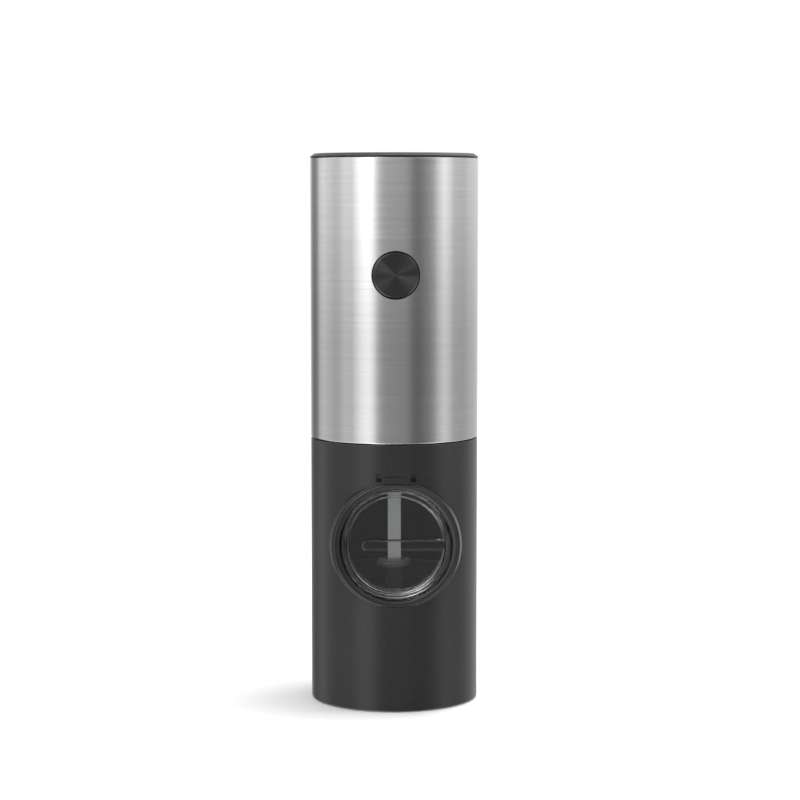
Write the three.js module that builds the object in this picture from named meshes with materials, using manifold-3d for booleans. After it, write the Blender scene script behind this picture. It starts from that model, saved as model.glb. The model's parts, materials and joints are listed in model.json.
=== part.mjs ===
// A battery pepper mill: a steel motor unit stands on a black pepper chamber, which has a round clear
// filling lid in its front and a ceramic grinder in its base. Millimetres, +Z up, front towards -Y,
// origin at the centre of the base. Each mesh is one physical piece.
import * as THREE from "three";
import { mergeVertices } from "three/addons/utils/BufferGeometryUtils.js";
import Module from "manifold-3d";

// ---- Driving dimensions -------------------------------------------------------------------------
const HEIGHT = 180;
const RADIUS = 27.5;
const JOINT_Z = 87; // where the steel half meets the black half
const GAP = 0.3; // clearance between neighbouring pieces
const CLOSE_GAP = 0.15; // clearance of a piece guided by its neighbour

const BODY_WALL = 2.2;
const STEEL_WALL = 0.7;
const CHASSIS_WALL = 1.7;
const CAP_THICKNESS = 1.4;

const FLOOR_Z = 41; // outer edge of the chamber's floor
const FLOOR_MOUTH = 13; // radius of the hole that feeds the grinder

const WINDOW_Z = 54.3;
const COLLAR_RADIUS = 20.15;
const LID_RADIUS = 17.5;
const PANE_RADIUS = 15.7;
const COLLAR_FRONT = 27.4; // distances in front of the mill's axis
const LID_FRONT = 26.8;
const COLLAR_BACK = 17.2;

const BUTTON_Z = 141.1;
const BUTTON_RADIUS = 7.35;
const BUTTON_FRONT = 27.4;

const SHAFT_SIDE = 4.25; // the square drive shaft
const SHAFT_BOTTOM = 1.8;
const SHAFT_TOP = 91.2;
const THREAD_TOP = 8.2; // the shaft is round and threaded below this

const BURR_BOTTOM = 6.6;
const BURR_TOP = 17.6;
const BRIDGE_BOTTOM = 19.4;
const BRIDGE_TOP = 27;

const GEAR_MODULE = 0.6;
const SUN_TEETH = 12;
const PLANET_TEETH = 18;
const RING_TEETH = 48;
const PLANETS = 3;
const OUTPUT_GEARS_Z = 93.3;
const FIRST_GEARS_Z = 98.9;
const GEAR_WIDTH = 3.2;
const GEARBOX_BOTTOM = 88.8;
const GEARBOX_TOP = 102.6;
const GEARBOX_RADIUS = 17.2;

const MOTOR_RADIUS = 12.2;
const MOTOR_BOTTOM = 104.4;
const MOTOR_TOP = 119.6;
const MOTOR_NOSE = 3.2; // radius of the boss round the shaft

const HOLDER_BOTTOM = 124.7;
const HOLDER_TOP = 174.6;
const HOLDER_RADIUS = 14.6;
const CELL_RADIUS = 5.1;
const CELL_OFFSET = 6.1; // of each cell's axis from the mill's axis, along X and Y

const TURN = 2 * Math.PI;
const ROUND = 32; // sides of a large round piece
const SMALL_ROUND = 16;
const TINY_ROUND = 8;

// ---- Materials ----------------------------------------------------------------------------------
function material(color, roughness, metalness) {
  return new THREE.MeshStandardMaterial({ color, roughness, metalness });
}

const STEEL = material(0xb9bbbd, 0.32, 1);
const BLACK = material(0x2b2b2d, 0.55, 0);
const GLOSS_BLACK = material(0x1d1d1f, 0.2, 0);
const INNER_PLASTIC = material(0x3a3a3d, 0.6, 0);
const WHITE_PLASTIC = material(0xdedcd4, 0.5, 0);
const CERAMIC = material(0xf1efe8, 0.35, 0);
const CLEAR = new THREE.MeshStandardMaterial({
  color: 0xe8ecee,
  roughness: 0.05,
  metalness: 0,
  transparent: true,
  opacity: 0.3,
});
const SILICONE = material(0xcfd3d4, 0.6, 0);
const RUBBER = material(0x202022, 0.7, 0);
const BRIGHT_METAL = material(0xc8cacc, 0.3, 1);
const SPRING_STEEL = material(0x9fa2a5, 0.35, 1);
const BRASS = material(0xc2a256, 0.35, 1);
const BRONZE = material(0x9a6b3c, 0.45, 1);
const MAGNET = material(0x333336, 0.7, 0.3);
const COPPER = material(0xb06a3b, 0.4, 1);
const CELL_SKIN = material(0x3c4a57, 0.35, 0.2);
const BOARD = material(0x1f5a3a, 0.5, 0);

// ---- Solids from three.js geometry --------------------------------------------------------------
const wasm = await Module();
wasm.setup();

function solidOf(geometry) {
  const bare = geometry.clone();
  bare.deleteAttribute("normal");
  bare.deleteAttribute("uv");
  const merged = mergeVertices(bare);
  const vertProperties = new Float32Array(merged.attributes.position.array);
  const triVerts = new Uint32Array(merged.index.array);
  return new wasm.Manifold(new wasm.Mesh({ numProp: 3, vertProperties, triVerts }));
}

function geometryOf(solid) {
  const { vertProperties, triVerts } = solid.getMesh();
  const geometry = new THREE.BufferGeometry();
  geometry.setAttribute("position", new THREE.BufferAttribute(vertProperties, 3));
  geometry.setIndex(new THREE.BufferAttribute(triVerts, 1));
  geometry.computeVertexNormals();
  return geometry;
}

function join(...geometries) {
  const [first, ...others] = geometries.map(solidOf);
  return geometryOf(others.reduce((whole, other) => whole.add(other), first));
}

function cut(geometry, ...tools) {
  const solids = tools.map(solidOf);
  return geometryOf(solids.reduce((left, tool) => left.subtract(tool), solidOf(geometry)));
}

// A closed profile of [radius, height] points, turned about Z.
function turned(points, sides = ROUND) {
  const profile = points.map(([r, z]) => new THREE.Vector2(r, z));
  return new THREE.LatheGeometry(profile, sides).rotateX(Math.PI / 2);
}

function rod(radius, bottom, top, sides = SMALL_ROUND) {
  return turned([[0, bottom], [radius, bottom], [radius, top], [0, top]], sides);
}

function tube(inner, outer, bottom, top, sides = SMALL_ROUND) {
  const profile = [[inner, bottom], [outer, bottom], [outer, top], [inner, top], [inner, bottom]];
  return turned(profile, sides);
}

function block(width, depth, bottom, top) {
  return new THREE.BoxGeometry(width, depth, top - bottom).translate(0, 0, (bottom + top) / 2);
}

// Points of a quarter circle that rounds an outer corner, from angle a to angle b.
function corner(r, z, radius, a, b, steps = 2) {
  return Array.from({ length: steps + 1 }, (_, i) => {
    const angle = a + ((b - a) * i) / steps;
    return [r + radius * Math.cos(angle), z + radius * Math.sin(angle)];
  });
}

// Turns a piece made along Z so that it faces the front, centred at this height.
function facingFront(geometry, height) {
  return geometry.rotateX(Math.PI / 2).translate(0, 0, height);
}

// Moves a piece out from the mill's axis by a radius, at an angle.
function moved(geometry, radius, angle) {
  return geometry.translate(radius * Math.cos(angle), radius * Math.sin(angle), 0);
}

// Equal angles round the axis, starting at first.
function spread(count, first = 0) {
  return Array.from({ length: count }, (_, i) => first + (TURN * i) / count);
}

class Helix extends THREE.Curve {
  constructor(radius, bottom, top, turns) {
    super();
    Object.assign(this, { radius, bottom, top, turns });
  }
  getPoint(t, target = new THREE.Vector3()) {
    const angle = t * this.turns * TURN;
    const height = this.bottom + (this.top - this.bottom) * t;
    return target.set(this.radius * Math.cos(angle), this.radius * Math.sin(angle), height);
  }
}

function coilSpring(radius, wire, bottom, top, turns) {
  const wireSides = 4;
  const stepsPerTurn = 8;
  const section = new THREE.Shape(
    spread(wireSides).map((a) => new THREE.Vector2(wire * Math.cos(a), wire * Math.sin(a))),
  );
  const path = new Helix(radius, bottom + wire, top - wire, turns);
  return new THREE.ExtrudeGeometry(section, { steps: turns * stepsPerTurn, extrudePath: path });
}

function screw(headRadius, headHeight, shankRadius, length) {
  const slotDepth = headHeight * 0.55;
  const slotWidth = headRadius * 0.3;
  const slotLength = headRadius * 1.2;
  const over = headHeight + 1;
  const slotBottom = headHeight - slotDepth;
  const blank = turned(
    [
      [0, -length],
      [shankRadius * 0.5, -length],
      [shankRadius, shankRadius - length],
      [shankRadius, 0],
      [headRadius, 0],
      [headRadius, headHeight * 0.6],
      [headRadius * 0.7, headHeight],
      [0, headHeight],
    ],
    TINY_ROUND,
  );
  return cut(
    blank,
    block(slotWidth, slotLength, slotBottom, over),
    block(slotLength, slotWidth, slotBottom, over),
  );
}

// ---- The group ----------------------------------------------------------------------------------
const mill = new THREE.Group();

function add(name, geometry, look, parent = mill) {
  const mesh = new THREE.Mesh(geometry, look);
  mesh.name = name;
  parent.add(mesh);
  return mesh;
}

// ---- Black lower half: the pepper chamber -------------------------------------------------------
const BODY_BORE = RADIUS - BODY_WALL;
const SCREW_CIRCLE = 21.4;
const BASE_SCREW_ANGLES = spread(3, Math.PI / 2);
const BOSS_RADIUS = 3;
const SCREW_HOLE = 1.4; // radius
const HOLDER_FLANGE_BOTTOM = 3;
const HOLDER_FLANGE_TOP = 5.6;

function chamberBody() {
  const foot = 0.8; // rounding of the bottom edge
  const rim = 0.4; // bevel at the top edge
  const top = JOINT_Z - 0.15;
  const floorUnder = 36;
  const drop = 2.4; // of the sloping floor, down to the feed hole
  const pilotTop = 18;
  const shell = turned([
    [BODY_BORE, 0],
    ...corner(RADIUS - foot, foot, foot, -Math.PI / 2, 0),
    [RADIUS, top - rim],
    [RADIUS - rim, top],
    [BODY_BORE, top],
    [BODY_BORE, FLOOR_Z],
    [FLOOR_MOUTH + 1, FLOOR_Z - drop],
    [FLOOR_MOUTH, FLOOR_Z - drop - 0.6],
    [FLOOR_MOUTH, floorUnder],
    [BODY_BORE, floorUnder],
    [BODY_BORE, 0],
  ]);
  const bosses = BASE_SCREW_ANGLES.map((a) =>
    moved(rod(BOSS_RADIUS, HOLDER_FLANGE_TOP + GAP, floorUnder + 1, TINY_ROUND), SCREW_CIRCLE, a),
  );
  const pilots = BASE_SCREW_ANGLES.map((a) =>
    moved(rod(SCREW_HOLE, 0, pilotTop, TINY_ROUND), SCREW_CIRCLE, a),
  );
  const mouth = facingFront(rod(COLLAR_RADIUS + GAP, COLLAR_BACK - 6, RADIUS + 5, ROUND), WINDOW_Z);
  return cut(join(shell, windowFlare(), ...bosses), mouth, ...pilots);
}

// The body swells out round the window, where the collar stands proud of its curve.
function windowFlare() {
  const inner = COLLAR_RADIUS - 1;
  const outer = COLLAR_RADIUS + 1.2;
  const back = COLLAR_BACK;
  const front = COLLAR_FRONT - 0.6;
  const flare = turned([
    [inner, back],
    [outer, back],
    [outer, front - 3],
    [COLLAR_RADIUS + 0.6, front],
    [inner, front],
    [inner, back],
  ]);
  return cut(facingFront(flare, WINDOW_Z), rod(RADIUS - 1, 0, HEIGHT, ROUND));
}

function windowCollar() {
  const bore = LID_RADIUS + 0.4;
  const lip = 0.9;
  const step = 1.6; // depth of the lead-in round the lid
  const collar = turned([
    [bore, COLLAR_BACK],
    [COLLAR_RADIUS, COLLAR_BACK],
    ...corner(COLLAR_RADIUS - lip, COLLAR_FRONT - lip, lip, 0, Math.PI / 2),
    [bore + 0.8, COLLAR_FRONT - step + 0.1],
    [bore, COLLAR_FRONT - step],
    [bore, COLLAR_BACK],
  ]);
  return facingFront(collar, WINDOW_Z);
}

const SPIGOT_RADIUS = 16.4; // carries the seal

function windowLid() {
  const paneBack = 22.6;
  const paneFront = 24.2;
  const back = 18.3;
  const grooveFront = 20.4;
  const spigotBore = PANE_RADIUS - 1.2;
  const edge = 0.4;
  const cup = turned([
    [0, paneBack],
    [spigotBore, paneBack],
    [spigotBore, back],
    [SPIGOT_RADIUS, back],
    [SPIGOT_RADIUS, grooveFront],
    [LID_RADIUS, grooveFront],
    ...corner(LID_RADIUS - edge, LID_FRONT - edge, edge, 0, Math.PI / 2),
    [PANE_RADIUS + edge, LID_FRONT],
    [PANE_RADIUS, LID_FRONT - edge],
    [PANE_RADIUS, paneFront],
    [0, paneFront],
  ]);
  return facingFront(join(cup, lidBar(paneFront)), WINDOW_Z);
}

// The bar across the lid: round at its left end, a ridge along its middle, a nib over the rim.
function lidBar(paneFront) {
  const half = 1.8;
  const left = -11;
  const right = 16.4;
  const nib = 18.2;
  const ridge = 0.5;
  const outline = new THREE.Shape();
  outline.moveTo(nib, 0);
  outline.lineTo(right, half);
  outline.lineTo(left + half, half);
  outline.absarc(left + half, 0, half, Math.PI / 2, 1.5 * Math.PI, false);
  outline.lineTo(right, -half);
  const top = LID_FRONT - ridge;
  const bar = new THREE.ExtrudeGeometry(outline, {
    depth: top - paneFront + 0.2,
    bevelEnabled: false,
    curveSegments: 6,
  }).translate(0, 0, paneFront - 0.2);
  const roof = new THREE.Shape();
  roof.moveTo(-half, top - 0.1);
  roof.lineTo(half, top - 0.1);
  roof.lineTo(0, LID_FRONT);
  const length = right - left - 2 * half;
  const crest = new THREE.ExtrudeGeometry(roof, { depth: length, bevelEnabled: false })
    .rotateX(Math.PI / 2)
    .rotateZ(Math.PI / 2)
    .translate(left + half, 0, 0);
  const trim = tube(LID_RADIUS, nib + 1, 0, LID_FRONT - 0.9, ROUND);
  return cut(join(bar, crest), trim);
}

function lidSeal() {
  const inner = SPIGOT_RADIUS + CLOSE_GAP;
  const outer = LID_RADIUS + 0.25;
  const back = 18.5;
  const front = 20.2;
  const edge = 0.4;
  return facingFront(
    turned([
      [inner, back],
      [outer - edge, back],
      [outer, back + edge],
      [outer, front - edge],
      [outer - edge, front],
      [inner, front],
      [inner, back],
    ]),
    WINDOW_Z,
  );
}

// ---- Grinder ------------------------------------------------------------------------------------
const STATOR_RADIUS = 17;
const HOLDER_BORE = STATOR_RADIUS + GAP;

function burrHolder() {
  const outer = 18.4;
  const lip = 15.4; // the stator rests on this
  const top = 34;
  const holder = turned([
    [lip, HOLDER_FLANGE_BOTTOM],
    [BODY_BORE - GAP, HOLDER_FLANGE_BOTTOM],
    [BODY_BORE - GAP, HOLDER_FLANGE_TOP],
    [outer, HOLDER_FLANGE_TOP],
    [outer, top],
    [HOLDER_BORE, top],
    [HOLDER_BORE, BURR_BOTTOM - GAP],
    [lip, BURR_BOTTOM - GAP],
    [lip, HOLDER_FLANGE_BOTTOM],
  ]);
  const holes = BASE_SCREW_ANGLES.map((a) =>
    moved(rod(SCREW_HOLE, 2, HOLDER_FLANGE_TOP + 1, TINY_ROUND), SCREW_CIRCLE, a),
  );
  return cut(holder, ...holes);
}

// A cone with twisted ridges: a star outline drawn along Z, then tapered and turned.
function ridgedCone({ ridges, ridgeDepth, bottomRadius, topRadius, bottom, top, twist }) {
  const star = new THREE.Shape(
    spread(2 * ridges).map((a, i) => {
      const r = i % 2 ? 1 - ridgeDepth : 1;
      return new THREE.Vector2(r * Math.cos(a), r * Math.sin(a));
    }),
  );
  const cone = new THREE.ExtrudeGeometry(star, { depth: 1, steps: 2, bevelEnabled: false });
  const place = cone.attributes.position;
  for (let i = 0; i < place.count; i++) {
    const t = place.getZ(i);
    const radius = THREE.MathUtils.lerp(bottomRadius, topRadius, t);
    const angle = Math.atan2(place.getY(i), place.getX(i)) + twist * t;
    const size = radius * Math.hypot(place.getX(i), place.getY(i));
    place.setXYZ(i, size * Math.cos(angle), size * Math.sin(angle), bottom + (top - bottom) * t);
  }
  return cone;
}

function statorBurr() {
  const ring = rod(STATOR_RADIUS, BURR_BOTTOM, BRIDGE_BOTTOM - GAP, ROUND);
  const cutter = ridgedCone({
    ridges: 18,
    ridgeDepth: 0.08,
    bottomRadius: 13.2,
    topRadius: 12.2,
    bottom: BURR_BOTTOM - 1,
    top: BRIDGE_BOTTOM + 1,
    twist: 0.35,
  });
  return cut(ring, cutter);
}

function rotorBurr() {
  const cone = ridgedCone({
    ridges: 14,
    ridgeDepth: 0.1,
    bottomRadius: 11.2,
    topRadius: 7.2,
    bottom: BURR_BOTTOM,
    top: BURR_TOP,
    twist: -0.5,
  });
  const socket = SHAFT_SIDE + 2 * GAP;
  return cut(cone, block(socket, socket, BURR_BOTTOM - 1, BURR_TOP + 1));
}

function burrBridge() {
  const ringBore = 15;
  const bearing = 3.3; // radius of the hole that steadies the shaft
  const hubRadius = 5.4;
  const hubBottom = 24.4;
  const spokeWidth = 2.6;
  const spokeLength = 15.6;
  const ring = tube(ringBore, STATOR_RADIUS, BRIDGE_BOTTOM, BRIDGE_TOP, ROUND);
  const hub = rod(hubRadius, hubBottom, BRIDGE_TOP);
  const spokes = spread(3, Math.PI / 6).map((a) =>
    block(spokeLength, spokeWidth, hubBottom, BRIDGE_TOP)
      .translate(spokeLength / 2, 0, 0)
      .rotateZ(a),
  );
  return cut(join(ring, hub, ...spokes), rod(bearing, hubBottom - 1, BRIDGE_TOP + 1));
}

function burrSpring() {
  return coilSpring(4.3, 0.35, BURR_TOP + 0.2, BRIDGE_TOP - 2.8, 4);
}

function adjusterKnob() {
  const grips = 8;
  const gripRadius = 0.9;
  const threadBore = 2.2;
  const radius = 7.6;
  const bottom = 1;
  const top = BURR_BOTTOM - GAP;
  const edge = 0.6;
  const blank = turned([
    [0, bottom],
    [radius - edge, bottom],
    [radius, bottom + edge],
    [radius, top],
    [0, top],
  ]);
  const notches = spread(grips).map((a) => moved(rod(gripRadius, 0, top - 1, 6), radius + 0.3, a));
  return cut(blank, rod(threadBore, 0, top + 1), ...notches);
}

function driveShaft() {
  const threadRadius = 1.9;
  const square = block(SHAFT_SIDE, SHAFT_SIDE, THREAD_TOP, SHAFT_TOP);
  return join(square, rod(threadRadius, SHAFT_BOTTOM, THREAD_TOP + 0.5, TINY_ROUND));
}

// A feed disc with a square hub below it, which sleeves the shaft down to the feed hole.
function shaftDisc() {
  const radius = 5.82;
  const bottom = 43.7;
  const top = 46.2;
  const edge = 0.9;
  const hubSide = 5.6;
  const hubBottom = 36.5;
  const disc = turned([
    [0, bottom],
    ...corner(radius - edge, bottom + edge, edge, -Math.PI / 2, 0),
    ...corner(radius - edge, top - edge, edge, 0, Math.PI / 2),
    [0, top],
  ], SMALL_ROUND);
  const socket = SHAFT_SIDE + 2 * CLOSE_GAP;
  const hub = block(hubSide, hubSide, hubBottom, bottom + 0.5);
  return cut(join(disc, hub), block(socket, socket, hubBottom - 1, top + 1));
}

// ---- Upper unit: chassis, sleeve and cap --------------------------------------------------------
const CHASSIS_RADIUS = RADIUS - STEEL_WALL - GAP;
const CHASSIS_BORE = CHASSIS_RADIUS - CHASSIS_WALL;
const SHELF_BOTTOM = 104.2;
const SHELF_TOP = 106.2;
const CEILING_TOP = 83;
const SLEEVE_TOP = HEIGHT - CAP_THICKNESS - 0.15;
const CAP_SEAL_Z = 174.6;
const CAP_GROOVE = 1.6; // width of the seal's groove
const GEARBOX_SCREW_CIRCLE = 19.4;
const GEARBOX_SCREW_ANGLES = spread(3, Math.PI / 2);
const GEARBOX_SCREW_HOLE = 1.3; // radius

function gearboxScrewHoles(bottom, top) {
  return GEARBOX_SCREW_ANGLES.map((a) =>
    moved(rod(GEARBOX_SCREW_HOLE, bottom, top, TINY_ROUND), GEARBOX_SCREW_CIRCLE, a),
  );
}

function chassis() {
  const neck = BODY_BORE - GAP;
  const neckBore = 22.6;
  const casing = turned([
    [neckBore, CEILING_TOP + GAP],
    [neck, CEILING_TOP + GAP],
    [neck, JOINT_Z + 0.15],
    [CHASSIS_RADIUS, JOINT_Z + 0.15],
    [CHASSIS_RADIUS, SLEEVE_TOP - 0.2],
    [CHASSIS_BORE, SLEEVE_TOP - 0.2],
    [CHASSIS_BORE, SHELF_TOP],
    [MOTOR_RADIUS + 0.6, SHELF_TOP],
    [MOTOR_RADIUS + 0.6, SHELF_BOTTOM],
    [neckBore, SHELF_BOTTOM],
    [neckBore, CEILING_TOP + GAP],
  ]);
  const guideHole = 9.8;
  const buttonHole = facingFront(rod(guideHole, 20, RADIUS), BUTTON_Z);
  const screwHoles = gearboxScrewHoles(SHELF_BOTTOM - 1, SHELF_TOP + 1);
  return cut(casing, buttonHole, ...screwHoles);
}

function steelSleeve() {
  const inner = RADIUS - STEEL_WALL;
  const bottom = JOINT_Z + 0.1;
  const turnIn = 0.35;
  const sleeve = turned([
    [inner, bottom],
    [RADIUS - turnIn, bottom],
    [RADIUS, bottom + turnIn],
    [RADIUS, SLEEVE_TOP],
    [inner, SLEEVE_TOP],
    [inner, bottom],
  ]);
  return cut(sleeve, facingFront(rod(BUTTON_RADIUS + 0.4, 20, RADIUS + 2), BUTTON_Z));
}

function topCap() {
  const under = HEIGHT - CAP_THICKNESS;
  const skirt = CHASSIS_BORE - 0.2;
  const skirtBore = skirt - 1.8;
  const skirtBottom = 171.5;
  const groove = skirt - 1.2;
  const plug = 4.2; // radius of the peg that fits the battery holder's socket
  const plugBottom = HEIGHT - 5.2;
  const plate = under - 0.5;
  return turned([
    [0, plugBottom],
    [plug, plugBottom],
    [plug, plate],
    [skirtBore, plate],
    [skirtBore, skirtBottom],
    [skirt, skirtBottom],
    [skirt, CAP_SEAL_Z - CAP_GROOVE / 2],
    [groove, CAP_SEAL_Z - CAP_GROOVE / 2],
    [groove, CAP_SEAL_Z + CAP_GROOVE / 2],
    [skirt, CAP_SEAL_Z + CAP_GROOVE / 2],
    [skirt, under],
    [RADIUS, under],
    [RADIUS, under + 0.3],
    [RADIUS - 0.3, under + 0.9],
    [RADIUS - 1.3, HEIGHT],
    [0, HEIGHT],
  ]);
}

function capSeal() {
  const wire = 0.5;
  const middle = CHASSIS_BORE - wire - 0.12;
  const section = spread(6).map((a) => [
    middle + wire * Math.cos(a),
    CAP_SEAL_Z + wire * Math.sin(a),
  ]);
  return turned([...section, section[0]]);
}

function chamberCeiling() {
  const outer = BODY_BORE - GAP;
  const hole = 7;
  const wellWall = 1.4;
  const wellBottom = 79.4;
  const plateBottom = 80.6;
  const plate = tube(hole, outer, plateBottom, CEILING_TOP, ROUND);
  const well = tube(hole, hole + wellWall, wellBottom, plateBottom + 0.4, SMALL_ROUND);
  return join(plate, well);
}

function shaftSeal() {
  return turned([
    [4.4, 81.4],
    [5, 79.8],
    [6.8, 79.8],
    [6.8, 82.6],
    [5, 82.6],
    [4.4, 82.2],
    [4.4, 81.4],
  ], SMALL_ROUND);
}

// ---- Gearbox: two planetary stages in one ring gear ---------------------------------------------
const SUN_PITCH = (GEAR_MODULE * SUN_TEETH) / 2;
const PLANET_PITCH = (GEAR_MODULE * PLANET_TEETH) / 2;
const RING_PITCH = (GEAR_MODULE * RING_TEETH) / 2;
const PIN_CIRCLE = SUN_PITCH + PLANET_PITCH;
const PIN_RADIUS = 1.2;
const PLANET_ANGLES = spread(PLANETS);

// An outline of straight-sided teeth. slack is added to each tooth's half width at the pitch circle.
function gearOutline(teeth, pitch, inner, outer, slack, phase) {
  const flank = Math.tan(THREE.MathUtils.degToRad(20));
  const halfAt = (r) => (Math.PI * GEAR_MODULE) / 4 + slack - flank * (r - pitch);
  const points = spread(teeth, phase).flatMap((middle) =>
    [[inner, -1], [outer, -1], [outer, 1], [inner, 1]].map(([r, side]) => {
      const angle = middle + (side * halfAt(r)) / r;
      return new THREE.Vector2(r * Math.cos(angle), r * Math.sin(angle));
    }),
  );
  return new THREE.Shape(points);
}

const ADDENDUM = 0.8 * GEAR_MODULE;
const DEDENDUM = 1.15 * GEAR_MODULE;
const BACKLASH = 0.12; // taken off each tooth's half width

function gear(teeth, bottom, top, phase = 0) {
  const pitch = (GEAR_MODULE * teeth) / 2;
  const outline = gearOutline(teeth, pitch, pitch - DEDENDUM, pitch + ADDENDUM, -BACKLASH, phase);
  return new THREE.ExtrudeGeometry(outline, { depth: top - bottom, bevelEnabled: false })
    .translate(0, 0, bottom);
}

function ringGear(bottom, top) {
  const halfTooth = Math.PI / RING_TEETH;
  const inner = RING_PITCH - ADDENDUM;
  const outer = RING_PITCH + DEDENDUM;
  const hole = gearOutline(RING_TEETH, RING_PITCH, inner, outer, BACKLASH, halfTooth);
  return new THREE.ExtrudeGeometry(hole, { depth: top - bottom, bevelEnabled: false })
    .translate(0, 0, bottom);
}

function ear(bottom, top, angle) {
  const radius = 2.8;
  return moved(rod(radius, bottom, top, TINY_ROUND), GEARBOX_SCREW_CIRCLE - 0.4, angle);
}

const BUSH_RADIUS = 6;

function outputBush() {
  return tube(4.4, BUSH_RADIUS, GEARBOX_BOTTOM - 0.6, GEARBOX_BOTTOM + 2.2);
}

function gearboxHousing() {
  const floorTop = GEARBOX_BOTTOM + 2;
  const cup = rod(GEARBOX_RADIUS, GEARBOX_BOTTOM, GEARBOX_TOP, ROUND);
  const ears = GEARBOX_SCREW_ANGLES.map((a) => ear(GEARBOX_TOP - 6, GEARBOX_TOP, a));
  const holes = gearboxScrewHoles(GEARBOX_TOP - 5, GEARBOX_TOP + 1);
  const bushHole = rod(BUSH_RADIUS + GAP, GEARBOX_BOTTOM - 1, floorTop + 1);
  return cut(join(cup, ...ears), ringGear(floorTop, GEARBOX_TOP + 1), bushHole, ...holes);
}

function gearboxCover() {
  const bottom = GEARBOX_TOP + GAP;
  const top = SHELF_BOTTOM - GAP;
  const plate = rod(GEARBOX_RADIUS, bottom, top, ROUND);
  const ears = GEARBOX_SCREW_ANGLES.map((a) => ear(bottom, top, a));
  const holes = gearboxScrewHoles(bottom - 1, top + 1);
  const noseHole = rod(MOTOR_NOSE + 0.4, bottom - 1, top + 1);
  return cut(join(plate, ...ears), noseHole, ...holes);
}

const CARRIER_RADIUS = 12.6;

function outputCarrier() {
  const hubRadius = 4.3;
  const hubBottom = 84.8;
  const bottom = 91.4;
  const rootZ = bottom + 0.2; // the hub and the pins start inside the disc
  const disc = rod(CARRIER_RADIUS, bottom, OUTPUT_GEARS_Z - GAP);
  const hub = rod(hubRadius, hubBottom, rootZ);
  const pins = PLANET_ANGLES.map((a) =>
    moved(rod(PIN_RADIUS, rootZ, OUTPUT_GEARS_Z + GEAR_WIDTH + 0.1, TINY_ROUND), PIN_CIRCLE, a),
  );
  const socket = SHAFT_SIDE + 2 * CLOSE_GAP;
  return cut(join(disc, hub, ...pins), block(socket, socket, hubBottom - 0.8, SHAFT_TOP + GAP));
}

function firstCarrier() {
  const bottom = FIRST_GEARS_Z - 1.9;
  const disc = rod(CARRIER_RADIUS, bottom, FIRST_GEARS_Z - GAP);
  const sun = gear(SUN_TEETH, OUTPUT_GEARS_Z, bottom + 0.5);
  const pins = PLANET_ANGLES.map((a) =>
    moved(rod(PIN_RADIUS, bottom + 0.5, FIRST_GEARS_Z + GEAR_WIDTH, TINY_ROUND), PIN_CIRCLE, a),
  );
  return join(disc, sun, ...pins);
}

function planet(bottom, angle) {
  const phase = angle + Math.PI + Math.PI / PLANET_TEETH;
  const wheel = gear(PLANET_TEETH, bottom, bottom + GEAR_WIDTH, phase);
  const bore = rod(PIN_RADIUS + 0.2, bottom - 1, bottom + GEAR_WIDTH + 1, TINY_ROUND);
  return cut(wheel, bore);
}

// ---- Motor --------------------------------------------------------------------------------------
const MOTOR_SHAFT_RADIUS = 1;

function motorCan() {
  const wall = 0.8;
  const bevel = 0.6;
  const noseTip = MOTOR_BOTTOM - 1;
  const bore = MOTOR_SHAFT_RADIUS + 0.2;
  const bossTop = MOTOR_BOTTOM + 1;
  return turned([
    [bore, noseTip],
    [MOTOR_NOSE, noseTip],
    [MOTOR_NOSE, MOTOR_BOTTOM],
    [MOTOR_RADIUS - bevel, MOTOR_BOTTOM],
    [MOTOR_RADIUS, MOTOR_BOTTOM + bevel],
    [MOTOR_RADIUS, MOTOR_TOP],
    [MOTOR_RADIUS - wall, MOTOR_TOP],
    [MOTOR_RADIUS - wall, bossTop],
    [bore, bossTop],
    [bore, noseTip],
  ], SMALL_ROUND);
}

function motorMagnet() {
  return tube(8.9, 11, 106.4, 118.4);
}

function armature() {
  const poles = 3;
  const bottom = 107;
  const top = 117.4;
  const coreRadius = 3.6;
  const [armLength, armWidth, armMiddle] = [6, 2.2, 4.6];
  const [shoeInner, shoeOuter, halfSpan] = [6.9, 8.2, 0.82];
  const core = rod(coreRadius, bottom, top, TINY_ROUND);
  const arms = spread(poles).map((a) =>
    block(armLength, armWidth, bottom, top).translate(armMiddle, 0, 0).rotateZ(a),
  );
  const shoes = spread(poles).map((a) =>
    shoe(shoeInner, shoeOuter, halfSpan, bottom, top).rotateZ(a),
  );
  const bore = rod(MOTOR_SHAFT_RADIUS + 0.1, bottom - 1, top + 1, TINY_ROUND);
  return cut(join(core, ...arms, ...shoes), bore);
}

// A curved shoe: part of a ring, half a span to each side of the X axis.
function shoe(inner, outer, halfSpan, bottom, top) {
  const outline = new THREE.Shape();
  outline.absarc(0, 0, outer, -halfSpan, halfSpan, false);
  outline.absarc(0, 0, inner, halfSpan, -halfSpan, true);
  const options = { depth: top - bottom, bevelEnabled: false, curveSegments: 5 };
  return new THREE.ExtrudeGeometry(outline, options).translate(0, 0, bottom);
}

function motorEndCap() {
  const bottom = MOTOR_TOP + GAP;
  const top = 121.4;
  const bevel = 0.5;
  const hubTop = 122.8;
  const [tabWidth, tabDepth, tabTop, tabOffset] = [2.4, 0.8, 123.6, 7.6];
  const plate = turned([
    [0, bottom],
    [MOTOR_RADIUS, bottom],
    [MOTOR_RADIUS, top - bevel],
    [MOTOR_RADIUS - bevel, top],
    [MOTOR_NOSE, top],
    [MOTOR_NOSE, hubTop],
    [0, hubTop],
  ], SMALL_ROUND);
  const tabs = [-1, 1].map((side) =>
    block(tabWidth, tabDepth, top - bevel, tabTop).translate(side * tabOffset, 0, 0),
  );
  return cut(join(plate, ...tabs), rod(MOTOR_SHAFT_RADIUS + 0.1, bottom - 1, 122, TINY_ROUND));
}

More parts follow.
